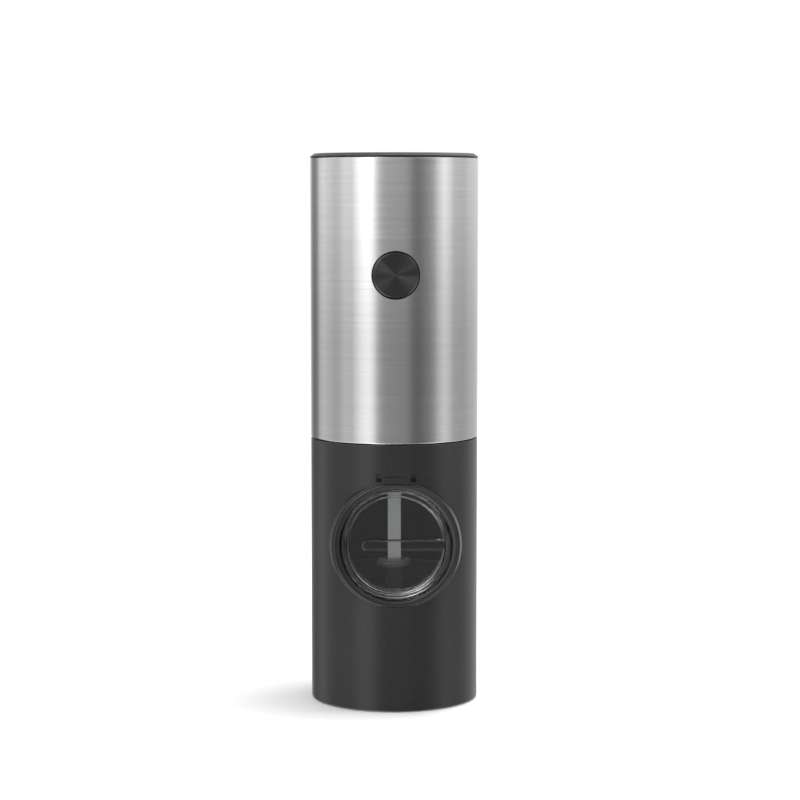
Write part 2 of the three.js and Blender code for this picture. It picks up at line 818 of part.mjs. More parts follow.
function motorPinion() {
  const top = 102.4;
  const wheel = gear(SUN_TEETH, FIRST_GEARS_Z, top);
  return cut(wheel, rod(MOTOR_SHAFT_RADIUS + 0.1, FIRST_GEARS_Z - 1, top + 0.6, TINY_ROUND));
}

// ---- Batteries ----------------------------------------------------------------------------------
const CELL_SPACE_BOTTOM = 126.4;
const CELL_SPACE_TOP = 173.2;
const CELL_LENGTH = 43;
const NUB_LENGTH = 1;
const CELL_SIDES = 12;
const CELL_ANGLES = spread(4, Math.PI / 4);
const CELL_CIRCLE = CELL_OFFSET * Math.SQRT2;

function batteryHolder() {
  const web = 1.2;
  const bottomPlate = rod(HOLDER_RADIUS, HOLDER_BOTTOM, CELL_SPACE_BOTTOM - 0.2, ROUND);
  const topPlate = rod(HOLDER_RADIUS, CELL_SPACE_TOP + 0.2, HOLDER_TOP, ROUND);
  const walls = [0, Math.PI / 2].map((a) =>
    block(2 * HOLDER_RADIUS - 1, web, HOLDER_BOTTOM + 1, HOLDER_TOP - 0.5).rotateZ(a),
  );
  const [socketBore, socketRadius] = [4.5, 6.2];
  const socket = tube(socketBore, socketRadius, HOLDER_TOP - 0.5, HEIGHT - CAP_THICKNESS - 0.9);
  return join(bottomPlate, topPlate, ...walls, socket);
}

function batteryCell() {
  const bevel = 0.5;
  const nubRadius = 1.9;
  return turned([
    [0, 0],
    [CELL_RADIUS - bevel, 0],
    [CELL_RADIUS, bevel],
    [CELL_RADIUS, CELL_LENGTH - bevel],
    [CELL_RADIUS - bevel, CELL_LENGTH],
    [nubRadius, CELL_LENGTH],
    [nubRadius, CELL_LENGTH + NUB_LENGTH],
    [0, CELL_LENGTH + NUB_LENGTH],
  ], CELL_SIDES);
}

// ---- Button and switch --------------------------------------------------------------------------
function button() {
  const stem = 1.5; // radius of the stem that presses the switch
  const stemEnd = 22.6;
  const skirtBore = 5.6;
  const skirtBottom = 23.6;
  const under = 26;
  const chamfer = 0.4;
  const cap = turned([
    [0, stemEnd],
    [stem, stemEnd],
    [stem, under],
    [skirtBore, under],
    [skirtBore, skirtBottom],
    [BUTTON_RADIUS, skirtBottom],
    [BUTTON_RADIUS, BUTTON_FRONT - chamfer],
    [BUTTON_RADIUS - chamfer, BUTTON_FRONT],
    [0, BUTTON_FRONT],
  ], SMALL_ROUND);
  return facingFront(cap, BUTTON_Z);
}

function buttonSpring() {
  return facingFront(coilSpring(4, 0.3, 22.4, 25.8, 3), BUTTON_Z);
}

function buttonGuide() {
  const bore = BUTTON_RADIUS + CLOSE_GAP;
  const guide = turned([
    [3, 21.2],
    [11, 21.2],
    [11, 22],
    [9.5, 22.4],
    [9.5, 24.7],
    [bore, 24.7],
    [bore, 22.2],
    [3, 22.2],
    [3, 21.2],
  ], SMALL_ROUND);
  return facingFront(guide, BUTTON_Z);
}

function switchBody() {
  const bottom = 17.9;
  const top = 20.9;
  const body = cut(block(6.2, 6.2, bottom, top), rod(1.7, bottom + 0.5, top + 1, TINY_ROUND));
  return facingFront(body, BUTTON_Z);
}

function switchPlunger() {
  return facingFront(rod(1.4, 19.9, 22.3, TINY_ROUND), BUTTON_Z);
}

function switchBoard() {
  const board = block(17, 21, 16.1, 17.6);
  const holes = [-1, 1].map((side) =>
    rod(1.1, 15, 19, TINY_ROUND).translate(6.4 * side, 8 * side, 0),
  );
  return facingFront(cut(board, ...holes), BUTTON_Z);
}

// ---- Assembly -----------------------------------------------------------------------------------
add("chamber_body", chamberBody(), BLACK);
add("window_collar", windowCollar(), GLOSS_BLACK);
add("window_lid", windowLid(), CLEAR);
add("lid_seal", lidSeal(), SILICONE);

add("burr_holder", burrHolder(), INNER_PLASTIC);
add("stator_burr", statorBurr(), CERAMIC);
add("rotor_burr", rotorBurr(), CERAMIC);
add("burr_bridge", burrBridge(), INNER_PLASTIC);
add("burr_spring", burrSpring(), SPRING_STEEL);
add("adjuster_knob", adjusterKnob(), INNER_PLASTIC);
add("drive_shaft", driveShaft(), BRIGHT_METAL);
add("shaft_disc", shaftDisc(), INNER_PLASTIC);
BASE_SCREW_ANGLES.forEach((angle, i) => {
  const fastener = add(`base_screw_${i + 1}`, screw(2.3, 1.5, 1.05, 11), BRIGHT_METAL);
  const [x, y] = [SCREW_CIRCLE * Math.cos(angle), SCREW_CIRCLE * Math.sin(angle)];
  fastener.position.set(x, y, HOLDER_FLANGE_BOTTOM - GAP);
  fastener.rotation.x = Math.PI;
});

add("chassis", chassis(), INNER_PLASTIC);
add("steel_sleeve", steelSleeve(), STEEL);
add("top_cap", topCap(), BLACK);
add("cap_seal", capSeal(), RUBBER);
add("chamber_ceiling", chamberCeiling(), BLACK);
add("shaft_seal", shaftSeal(), SILICONE);

add("gearbox_housing", gearboxHousing(), WHITE_PLASTIC);
add("output_bush", outputBush(), BRONZE);
add("output_carrier", outputCarrier(), WHITE_PLASTIC);
add("first_carrier", firstCarrier(), WHITE_PLASTIC);
PLANET_ANGLES.forEach((angle, i) => {
  const [x, y] = [PIN_CIRCLE * Math.cos(angle), PIN_CIRCLE * Math.sin(angle)];
  const output = add(`output_planet_${i + 1}`, planet(OUTPUT_GEARS_Z, angle), WHITE_PLASTIC);
  const first = add(`first_planet_${i + 1}`, planet(FIRST_GEARS_Z, angle), WHITE_PLASTIC);
  output.position.set(x, y, 0);
  first.position.set(x, y, 0);
});
add("gearbox_cover", gearboxCover(), WHITE_PLASTIC);
GEARBOX_SCREW_ANGLES.forEach((angle, i) => {
  const fastener = add(`gearbox_screw_${i + 1}`, screw(2.1, 1.4, 1, 8.4), BRIGHT_METAL);
  const [x, y] = [GEARBOX_SCREW_CIRCLE * Math.cos(angle), GEARBOX_SCREW_CIRCLE * Math.sin(angle)];
  fastener.position.set(x, y, SHELF_TOP + GAP);
});

add("motor_can", motorCan(), BRIGHT_METAL);
add("motor_magnet", motorMagnet(), MAGNET);
add("armature", armature(), COPPER);
add("motor_shaft", rod(MOTOR_SHAFT_RADIUS, FIRST_GEARS_Z + 0.1, 121.6, TINY_ROUND), BRIGHT_METAL);
add("motor_pinion", motorPinion(), BRASS);
add("motor_end_cap", motorEndCap(), WHITE_PLASTIC);

add("battery_holder", batteryHolder(), INNER_PLASTIC);
const CELL_SPRING_LENGTH = 1.6;
CELL_ANGLES.forEach((angle, i) => {
  const [x, y] = [CELL_CIRCLE * Math.cos(angle), CELL_CIRCLE * Math.sin(angle)];
  const nubUp = i % 2 === 0;
  const lowSpring = CELL_SPACE_BOTTOM + GAP;
  const highSpring = CELL_SPACE_TOP - GAP - CELL_SPRING_LENGTH;
  const cell = add(`battery_${i + 1}`, batteryCell(), CELL_SKIN);
  const bottom = nubUp ? lowSpring + CELL_SPRING_LENGTH + GAP : highSpring - GAP;
  cell.position.set(x, y, bottom);
  cell.rotation.x = nubUp ? 0 : Math.PI;
  const coil = coilSpring(3, 0.25, 0, CELL_SPRING_LENGTH, 2);
  const spring = add(`battery_spring_${i + 1}`, coil, SPRING_STEEL);
  spring.position.set(x, y, nubUp ? lowSpring : highSpring);
});

add("button", button(), BLACK);
add("button_guide", buttonGuide(), INNER_PLASTIC);
add("button_spring", buttonSpring(), SPRING_STEEL);
add("switch_board", switchBoard(), BOARD);
add("switch_body", switchBody(), INNER_PLASTIC);
add("switch_plunger", switchPlunger(), WHITE_PLASTIC);

export default mill;
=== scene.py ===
"""The looks of a battery pepper mill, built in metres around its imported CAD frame."""

import json
import math

import bmesh
import bpy
from mathutils import Matrix, Vector


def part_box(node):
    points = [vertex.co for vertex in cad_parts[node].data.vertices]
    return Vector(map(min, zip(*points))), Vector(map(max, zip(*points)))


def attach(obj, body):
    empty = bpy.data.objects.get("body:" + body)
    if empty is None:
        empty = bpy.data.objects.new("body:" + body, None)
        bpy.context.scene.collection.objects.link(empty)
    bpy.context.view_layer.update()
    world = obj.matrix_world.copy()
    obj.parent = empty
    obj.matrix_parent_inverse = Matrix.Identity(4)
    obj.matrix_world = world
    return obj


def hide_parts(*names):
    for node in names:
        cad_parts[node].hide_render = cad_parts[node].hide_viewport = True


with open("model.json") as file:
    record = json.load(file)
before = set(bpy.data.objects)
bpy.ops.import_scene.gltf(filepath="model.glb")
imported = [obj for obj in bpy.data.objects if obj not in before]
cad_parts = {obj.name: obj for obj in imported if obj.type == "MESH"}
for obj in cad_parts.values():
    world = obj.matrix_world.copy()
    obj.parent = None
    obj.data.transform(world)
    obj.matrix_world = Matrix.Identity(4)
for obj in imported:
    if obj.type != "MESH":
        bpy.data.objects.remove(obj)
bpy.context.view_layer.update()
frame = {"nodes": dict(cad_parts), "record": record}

MM = 0.001
NODES = frame["nodes"]


def low(node, axis):
    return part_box(node)[0][axis] / MM


def high(node, axis):
    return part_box(node)[1][axis] / MM


def middle(node):
    """The middle of a node's box, in millimetres."""
    return sum(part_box(node), Vector()) / 2 / MM


# ---- Driving sizes, in millimetres, from the frame ------------------------------------------------
RADIUS = high("steel_sleeve", 0)
HEIGHT = high("top_cap", 2)
BODY_TOP = high("chamber_body", 2)
SLEEVE_BOTTOM = low("steel_sleeve", 2)
SLEEVE_TOP = high("steel_sleeve", 2)
BUTTON_Z = (low("button", 2) + high("button", 2)) / 2
BUTTON_RADIUS = high("button", 0)
BUTTON_FRONT = -low("button", 1)
WINDOW_Z = (low("window_collar", 2) + high("window_collar", 2)) / 2
COLLAR_RADIUS = high("window_collar", 0)
COLLAR_FRONT = -low("window_collar", 1)
COLLAR_BACK = -high("window_collar", 1)
LID_FRONT = -low("window_lid", 1)
LID_RADIUS = 17.5
PANE_RADIUS = 15.7

STEEL_WALL = 0.7
BODY_BORE = RADIUS - 2.2
GAP = 0.3
PRINT_HEIGHT = 0.02  # how far the printed signs stand on the body

FINE = 256  # sides of the large round pieces
MEDIUM = 96
SMALL = 40


# ---- Shapes ---------------------------------------------------------------------------------------
def rounded(points, steps=6):
    """A closed outline whose points (x, y, radius) are rounded to that radius, and (x, y) are sharp."""
    outline = []
    for i, point in enumerate(points):
        here = Vector(point[:2])
        if len(point) == 2:
            outline.append(here)
            continue
        to_last = (Vector(points[i - 1][:2]) - here).normalized()
        to_next = (Vector(points[(i + 1) % len(points)][:2]) - here).normalized()
        half = to_last.angle(to_next) / 2
        centre = here + (to_last + to_next).normalized() * point[2] / math.sin(half)
        start = here + to_last * point[2] / math.tan(half) - centre
        end = here + to_next * point[2] / math.tan(half) - centre
        sweep = math.atan2(start.cross(end), start.dot(end))
        for step in range(steps + 1):
            outline.append(centre + Matrix.Rotation(sweep * step / steps, 2) @ start)
    return outline


def mesh_object(name, vertices, faces):
    """An object from vertices in millimetres."""
    mesh = bpy.data.meshes.new(name)
    mesh.from_pydata([Vector(v) * MM for v in vertices], [], faces)
    made = bpy.data.objects.new(name, mesh)
    bpy.context.scene.collection.objects.link(made)
    return made


def tidy(piece, sharp=32):
    """Faces out, smooth shading with sharp corners kept, and normals weighted by face size."""
    shape = bmesh.new()
    shape.from_mesh(piece.data)
    bmesh.ops.remove_doubles(shape, verts=shape.verts, dist=1e-7)
    bmesh.ops.recalc_face_normals(shape, faces=shape.faces)
    shape.to_mesh(piece.data)
    shape.free()
    piece.data.shade_smooth()
    piece.data.set_sharp_from_angle(angle=math.radians(sharp))
    weights = piece.modifiers.new("weights", "WEIGHTED_NORMAL")
    weights.keep_sharp = True
    return piece


def turned(name, profile, sides=FINE):
    """A closed (radius, height) profile turned about Z."""
    vertices, rings = [], []
    for r, z in profile:
        count = 1 if r < 1e-6 else sides
        rings.append(range(len(vertices), len(vertices) + count))
        for i in range(count):
            angle = 2 * math.pi * i / sides
            vertices.append((r * math.cos(angle), r * math.sin(angle), z))
    faces = []
    for a, b in zip(rings, rings[1:] + rings[:1]):
        for i in range(sides):
            j = (i + 1) % sides
            if len(a) > 1 and len(b) > 1:
                faces.append((a[i], a[j], b[j], b[i]))
            elif len(a) > 1:
                faces.append((a[i], a[j], b[0]))
            elif len(b) > 1:
                faces.append((a[0], b[j], b[i]))
    return mesh_object(name, vertices, faces)


def prism(name, outline, bottom, top):
    """A flat outline drawn out along Z."""
    count = len(outline)
    vertices = [(x, y, z) for z in (bottom, top) for x, y in outline]
    sides = [(i, (i + 1) % count, count + (i + 1) % count, count + i) for i in range(count)]
    return mesh_object(name, vertices, [range(count), range(count, 2 * count), *sides])


def block(name, size, centre):
    """A box, used for cutting and joining."""
    x, y = size[0] / 2, size[1] / 2
    made = prism(name, [(-x, -y), (x, -y), (x, y), (-x, y)], -size[2] / 2, size[2] / 2)
    return shift(made, centre)


def circle(radius, sides, centre):
    """A round outline, for a ring's section."""
    angles = [2 * math.pi * i / sides for i in range(sides)]
    return [(centre[0] + radius * math.cos(a), centre[1] + radius * math.sin(a)) for a in angles]


def shift(piece, offset, turn=0.0):
    """Turns a piece about Z, in degrees, then moves it by an offset in millimetres."""
    move = Matrix.Translation(Vector(offset) * MM)
    piece.data.transform(move @ Matrix.Rotation(math.radians(turn), 4, "Z"))
    return piece


def facing_front(piece, height):
    """A piece made along Z is turned to face the front, centred at this height."""
    up = Matrix.Translation((0, 0, height * MM))
    piece.data.transform(up @ Matrix.Rotation(math.pi / 2, 4, "X"))
    return piece


def combine(piece, others, operation):
    """Joins the others to a piece, or cuts them from it, and leaves one clean mesh."""
    for other in others:
        tool = piece.modifiers.new("tool", "BOOLEAN")
        tool.operation = operation
        tool.solver = "EXACT"
        tool.object = other
        bpy.context.view_layer.update()
        graph = bpy.context.evaluated_depsgraph_get()
        result = bpy.data.meshes.new_from_object(piece.evaluated_get(graph))
        piece.modifiers.clear()
        piece.data = result
        bpy.data.objects.remove(other)
    return piece


def join(piece, *others):
    return combine(piece, others, "UNION")


def cut(piece, *others):
    return combine(piece, others, "DIFFERENCE")


def rod(name, radius, bottom, top, sides=SMALL, edge=0.0):
    """A cylinder, with its rims rounded when it has an edge radius."""
    corner = (edge,) if edge else ()
    profile = rounded([(0, bottom), (radius, bottom, *corner), (radius, top, *corner), (0, top)], 3)
    return turned(name, profile, sides)


def ring(name, inner, outer, bottom, top, sides=MEDIUM, edge=0.0):
    """A tube, with its rims rounded when it has an edge radius."""
    corner = (edge,) if edge else ()
    corners = [(inner, bottom), (outer, bottom), (outer, top), (inner, top)]
    return turned(name, rounded([(*c, *corner) for c in corners], 3), sides)


def coil(name, radius, wire, bottom, top, turns):
    """A round-wire spring that lies flat for most of its first and last turns."""
    around, per_turn = 10, 36
    flat = 0.75  # of a turn, at each end
    total = turns * per_turn
    vertices = []
    for i in range(total + 1):
        angle = 2 * math.pi * i / per_turn
        climb = min(max((i / per_turn - flat) / (turns - 2 * flat), 0), 1)
        ease = climb * climb * (3 - 2 * climb) if turns < 3 else climb
        height = bottom + wire + (top - bottom - 2 * wire) * ease
        out = Vector((math.cos(angle), math.sin(angle), 0))
        for k in range(around):
            turn = 2 * math.pi * k / around
            point = out * (radius + wire * math.cos(turn))
            vertices.append((point.x, point.y, height + wire * math.sin(turn)))
    faces = [
        (i * around + k, i * around + (k + 1) % around,
         (i + 1) * around + (k + 1) % around, (i + 1) * around + k)
        for i in range(total)
        for k in range(around)
    ]
    last = total * around
    faces += [range(around), range(last, last + around)]
    return mesh_object(name, vertices, faces)


# ---- Materials ------------------------------------------------------------------------------------
def material(name, colour, roughness, metallic=0.0, **sockets):
    """A Principled material; further sockets are named with _ for a space."""
    made = bpy.data.materials.new(name)
    made.use_nodes = True
    shader = made.node_tree.nodes["Principled BSDF"]
    shader.inputs["Base Color"].default_value = (*colour, 1)
    shader.inputs["Roughness"].default_value = roughness
    shader.inputs["Metallic"].default_value = metallic
    for socket, value in sockets.items():
        shader.inputs[socket.replace("_", " ")].default_value = value
    return made


def add_node(made, kind, **values):
    """A shader node whose values go to its sockets, or to its settings where no socket has the name."""
    node = made.node_tree.nodes.new(kind)
    for key, value in values.items():
        if key in node.inputs:
            node.inputs[key].default_value = value
        else:
            setattr(node, key, value)
    return node


def link(made, output, socket):
    made.node_tree.links.new(output, socket)


def noise(made, stretch, detail=3.0, rough=0.55):
    """Noise over the piece's own coordinates, with stretch features to the metre along each axis."""
    place = add_node(made, "ShaderNodeTexCoord")
    mapping = add_node(made, "ShaderNodeMapping", Scale=stretch)
    texture = add_node(made, "ShaderNodeTexNoise", Scale=1.0, Detail=detail, Roughness=rough)
    link(made, place.outputs["Object"], mapping.inputs["Vector"])
    link(made, mapping.outputs["Vector"], texture.inputs["Vector"])
    return texture.outputs["Fac"]


def ranged(made, source, start, end):
    """Maps the middle part of a noise, from 0.3 to 0.7, to a range of values."""
    node = add_node(made, "ShaderNodeMapRange", interpolation_type="SMOOTHSTEP")
    node.inputs["From Min"].default_value = 0.3
    node.inputs["From Max"].default_value = 0.7
    node.inputs["To Min"].default_value = start
    node.inputs["To Max"].default_value = end
    link(made, source, node.inputs["Value"])
    return node.outputs["Result"]


def tint(made, source, dark, light):
    """Varies the base colour between two colours by a noise."""
    colour_a, colour_b, colour_out = 6, 7, 2  # the mix node's sockets for colours
    mix = add_node(made, "ShaderNodeMix", data_type="RGBA")
    mix.inputs[colour_a].default_value = (*dark, 1)
    mix.inputs[colour_b].default_value = (*light, 1)
    link(made, ranged(made, source, 0, 1), mix.inputs["Factor"])
    shader = made.node_tree.nodes["Principled BSDF"]
    link(made, mix.outputs[colour_out], shader.inputs["Base Color"])


def roughen(made, source, least, most):
    """Varies the roughness between two values by a noise."""
    shader = made.node_tree.nodes["Principled BSDF"]
    link(made, ranged(made, source, least, most), shader.inputs["Roughness"])


def bump(made, source, depth_mm, strength):
    """Adds a noise's relief on top of any relief the material already has."""
    shader = made.node_tree.nodes["Principled BSDF"]
    last = shader.inputs["Normal"].links
    node = add_node(made, "ShaderNodeBump", Strength=strength, Distance=depth_mm * MM)
    link(made, source, node.inputs["Height"])
    if last:
        link(made, last[0].from_socket, node.inputs["Normal"])
    link(made, node.outputs["Normal"], shader.inputs["Normal"])


def scaled(colour, factor):
    return tuple(channel * factor for channel in colour)


def moulded(name, colour, roughness, grain=0.012, swing=0.12, **sockets):
    """Moulded plastic: a fine spark-eroded grain, slight sheen changes and faint handling marks."""
    made = material(name, colour, roughness, **sockets)
    broad = noise(made, (55, 55, 40), 9, 0.72)
    tint(made, broad, scaled(colour, 1 - swing), scaled(colour, 1 + swing))
    roughen(made, broad, roughness * 0.95, roughness * 1.05)
    bump(made, noise(made, (2600, 2600, 2600), 2), grain, 0.35)
    return made


def plated(name, colour, roughness, swing=0.08, **sockets):
    """Drawn or plated metal with faint lines along its length."""
    made = material(name, colour, roughness, 1.0, **sockets)
    lines = noise(made, (2200, 2200, 60), 3)
    tint(made, lines, scaled(colour, 1 - swing), scaled(colour, 1 + swing))
    roughen(made, lines, roughness * 0.8, roughness * 1.25)
    bump(made, lines, 0.004, 0.4)
    return made


def brushed_steel():
    """Steel brushed round the mill: long thin lines, some deeper, over a broad soft unevenness, with
    painted light that makes it lighter towards the top.
    """
    colour = (0.62, 0.622, 0.63)
    made = material("brushed_steel", colour, 0.27, 1.0, Anisotropic=0.93, Anisotropic_Rotation=0.25)
    tangent = add_node(made, "ShaderNodeTangent", direction_type="RADIAL", axis="Z")
    link(made, tangent.outputs["Tangent"], made.node_tree.nodes["Principled BSDF"].inputs["Tangent"])
    fine = noise(made, (26, 26, 3200), 4, 0.7)
    coarse = noise(made, (14, 14, 950), 3, 0.6)
    tint(made, fine, scaled(colour, 0.96), scaled(colour, 1.04))
    roughen(made, coarse, 0.24, 0.27)
    bump(made, fine, 0.003, 0.3)
    bump(made, coarse, 0.004, 0.1)
    # painted light: the colour is darker low on the sleeve and lighter near the top, for light falling
    # from above
    paint_light_by_height(made, (110, 0.8), (185, 1.22))
    return made


def paint_light_by_height(made, lower, upper):
    """Paints light and shade into the base colour: multiplies it by a factor that changes smoothly between
    two (height, factor) pairs.
    """
    shader = made.node_tree.nodes["Principled BSDF"]
    place = add_node(made, "ShaderNodeTexCoord")
    split = add_node(made, "ShaderNodeSeparateXYZ")
    factor = add_node(made, "ShaderNodeMapRange", interpolation_type="SMOOTHSTEP")
    painted_light = add_node(made, "ShaderNodeVectorMath", operation="SCALE")
    for socket, value in (("From Min", lower[0] * MM), ("From Max", upper[0] * MM),
                          ("To Min", lower[1]), ("To Max", upper[1])):
        factor.inputs[socket].default_value = value
    link(made, place.outputs["Object"], split.inputs["Vector"])
    link(made, split.outputs["Z"], factor.inputs["Value"])
    link(made, shader.inputs["Base Color"].links[0].from_socket, painted_light.inputs["Vector"])
    link(made, factor.outputs["Result"], painted_light.inputs["Scale"])
    link(made, painted_light.outputs["Vector"], shader.inputs["Base Color"])


def fill_ramp(ramp, stops):
    """Sets a ramp over a full turn from (degrees from -180 to 180, brightness) stops."""
    for (degrees, level), element in zip(stops[:2], ramp.elements):
        element.position = 0.5 + degrees / 360
        element.color = (level, level, level, 1)
    for degrees, level in stops[2:]:
        element = ramp.elements.new(0.5 + degrees / 360)
        element.color = (level, level, level, 1)


def spun_black():
    """Black anodised metal turned on a lathe: rings about the button's axis, and painted highlight fans
    set by angle.
    """
    colour = (0.062, 0.062, 0.065)
    made = material("spun_black", colour, 0.3, 0.85, Anisotropic=0.85, Anisotropic_Rotation=0.25)
    tangent = add_node(made, "ShaderNodeTangent", direction_type="RADIAL", axis="Y")
    shader = made.node_tree.nodes["Principled BSDF"]
    link(made, tangent.outputs["Tangent"], shader.inputs["Tangent"])
    place = add_node(made, "ShaderNodeTexCoord")
    split = add_node(made, "ShaderNodeSeparateXYZ")
    rise = add_node(made, "ShaderNodeMath", operation="SUBTRACT")
    rise.inputs[1].default_value = BUTTON_Z * MM
    flat = add_node(made, "ShaderNodeCombineXYZ")
    length = add_node(made, "ShaderNodeVectorMath", operation="LENGTH")
    rings = add_node(made, "ShaderNodeTexNoise", noise_dimensions="1D", Scale=5200.0, Detail=3.0)
    link(made, place.outputs["Object"], split.inputs["Vector"])
    link(made, split.outputs["Z"], rise.inputs[0])
    link(made, split.outputs["X"], flat.inputs["X"])
    link(made, rise.outputs["Value"], flat.inputs["Y"])
    link(made, flat.outputs["Vector"], length.inputs[0])
    link(made, length.outputs["Value"], rings.inputs["W"])
    tint(made, rings.outputs["Fac"], scaled(colour, 0.85), scaled(colour, 1.15))
    angle = add_node(made, "ShaderNodeTexGradient", gradient_type="RADIAL")
    painted_highlight_fans = add_node(made, "ShaderNodeValToRGB")
    painted_light = add_node(made, "ShaderNodeVectorMath", operation="MULTIPLY")
    # (degrees round from the right, brightness) of the painted highlight fans: the light sectors that the
    # spun face reflects, put into the colour
    fill_ramp(painted_highlight_fans.color_ramp, [
        (-178, 0.85), (-170, 1.0), (-150, 1.35), (-118, 0.75), (-62, 0.72), (-38, 1.2), (-22, 1.75),
        (-8, 1.5), (4, 0.8), (16, 0.95), (28, 1.3), (55, 0.85), (78, 0.75), (128, 0.7), (139, 1.45),
        (158, 1.6), (172, 1.15),
    ])
    link(made, flat.outputs["Vector"], angle.inputs["Vector"])
    link(made, angle.outputs["Fac"], painted_highlight_fans.inputs["Fac"])
    link(made, shader.inputs["Base Color"].links[0].from_socket, painted_light.inputs[0])
    link(made, painted_highlight_fans.outputs["Color"], painted_light.inputs[1])
    link(made, painted_light.outputs["Vector"], shader.inputs["Base Color"])
    roughen(made, rings.outputs["Fac"], 0.28, 0.42)
    bump(made, rings.outputs["Fac"], 0.004, 0.5)
    return made


def clear_plastic(name, shine):
    """Clear moulded plastic with a trace of haze and fine handling scuffs."""
    made = material(name, (0.93, 0.945, 0.95), 0.03, Transmission_Weight=1.0, IOR=1.49,
                    Specular_IOR_Level=shine)
    roughen(made, noise(made, (900, 900, 900), 5, 0.7), 0.02, 0.07)
    bump(made, noise(made, (70, 70, 70), 2), 0.01, 0.15)
    return made


def silicone():
    made = moulded("silicone", (0.62, 0.64, 0.64), 0.45, Subsurface_Weight=0.3)
    made.node_tree.nodes["Principled BSDF"].inputs["Subsurface Scale"].default_value = 0.001
    return made


def fired_ceramic():
    colour = (0.83, 0.82, 0.77)
    made = material("ceramic", colour, 0.4, Coat_Weight=0.15)
    tint(made, noise(made, (260, 260, 260), 5), scaled(colour, 0.9), scaled(colour, 1.05))
    bump(made, noise(made, (4200, 4200, 4200), 2), 0.01, 0.4)
    return made


STEEL = brushed_steel()
SPUN = spun_black()
CLEAR = clear_plastic("clear_plastic", 0.15)
CLEAR_EDGE = clear_plastic("clear_plastic_edge", 1.0)
BODY_BLACK = moulded("body_black", (0.021, 0.021, 0.022), 0.27, grain=0.002, swing=0.05,
                     Specular_IOR_Level=0.37)
CAP_BLACK = moulded("cap_black", (0.018, 0.017, 0.017), 0.3, grain=0.004, Specular_IOR_Level=0.32)
COLLAR_BLACK = moulded("collar_black", (0.018, 0.018, 0.019), 0.2, grain=0.002)
PRINT_BLACK = moulded("print_black", (0.003, 0.003, 0.003), 0.6, Specular_IOR_Level=0.15)
INNER_BLACK = moulded("inner_black", (0.035, 0.035, 0.036), 0.45)
DISC_GREY = moulded("disc_grey", (0.32, 0.32, 0.322), 0.42)
# painted light: a much lighter copy of the disc's grey, for its upward faces
DISC_PAINTED_LIGHT = moulded("disc_painted_light", (0.85, 0.85, 0.85), 0.42)
# painted light and shade: a much lighter and a much darker copy of the body's black, for the chamber's
# upward floor faces and its inner wall
CHAMBER_PAINTED_LIGHT = moulded("chamber_painted_light", (0.135, 0.135, 0.135), 0.5)
CHAMBER_PAINTED_SHADE = moulded("chamber_painted_shade", (0.006, 0.006, 0.006), 0.5, Specular_IOR_Level=0.15)
ACETAL = moulded("acetal_white", (0.78, 0.77, 0.72), 0.42, swing=0.05)
SILICONE = silicone()
SMOKE = moulded("smoke_seal", (0.06, 0.06, 0.06), 0.5)
RUBBER = moulded("seal_rubber", (0.02, 0.02, 0.02), 0.65, grain=0.02)
CERAMIC = fired_ceramic()
PLATED = plated("plated_steel", (0.66, 0.66, 0.67), 0.28)
SHAFT_METAL = plated("shaft_metal", (0.72, 0.72, 0.725), 0.38, swing=0.04)
SPRING_STEEL = plated("spring_steel", (0.5, 0.5, 0.51), 0.3)
BRASS = plated("brass", (0.72, 0.53, 0.24), 0.3)
BRONZE = plated("bronze", (0.5, 0.31, 0.17), 0.45)
COPPER = plated("copper", (0.62, 0.29, 0.14), 0.35)
MAGNET = moulded("magnet", (0.07, 0.07, 0.075), 0.7, grain=0.03)
CELL_SKIN = moulded("cell_skin", (0.07, 0.11, 0.16), 0.25, grain=0.002)
BOARD_GREEN = moulded("board_green", (0.02, 0.12, 0.055), 0.35, grain=0.008)


# ---- Placing pieces -------------------------------------------------------------------------------
BODY_OF = {
    node: body
    for body, members in frame["record"]["behaviour"]["bodies"].items()
    for node in members
}


def stands_for(piece, node, look):
    """A finished piece takes a CAD node's place, body and material slot."""
    tidy(piece)
    piece.data.materials.clear()
    piece.data.materials.append(look)
    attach(piece, BODY_OF[node])
    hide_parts(node)
    return piece


def extra(piece, body, look):
    """A finished piece that the CAD doesn't have."""
    tidy(piece)
    piece.data.materials.clear()
    piece.data.materials.append(look)
    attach(piece, body)
    return piece


def paint(piece, look, chosen):
    """Gives a second material to the faces a test chooses."""
    piece.data.materials.append(look)
    for face in piece.data.polygons:
        if chosen(face):
            face.material_index = len(piece.data.materials) - 1


def keep(node, look, edge=0.0):
    """A CAD node stays, with a better material and softened edges."""
    piece = NODES[node]
    piece.data.materials.clear()
    piece.data.materials.append(look)
    if edge:
        bevel = piece.modifiers.new("edges", "BEVEL")
        bevel.width = edge * MM
        bevel.segments = 2
        bevel.limit_method = "ANGLE"
        bevel.angle_limit = math.radians(35)
        bevel.harden_normals = True


# ---- Casing ---------------------------------------------------------------------------------------
def sleeve():
    """The steel sleeve: a thin tube with its lower edge turned in, and a hole for the button."""
    inner = RADIUS - STEEL_WALL
    profile = rounded([
        (inner, SLEEVE_BOTTOM, 0.1),
        (RADIUS, SLEEVE_BOTTOM, 0.4),
        (RADIUS, SLEEVE_TOP, 0.12),
        (inner, SLEEVE_TOP, 0.1),
    ])
    hole = facing_front(rod("hole", BUTTON_RADIUS + 0.4, 20, RADIUS + 5, MEDIUM), BUTTON_Z)
    stands_for(cut(turned("sleeve", profile), hole), "steel_sleeve", STEEL)


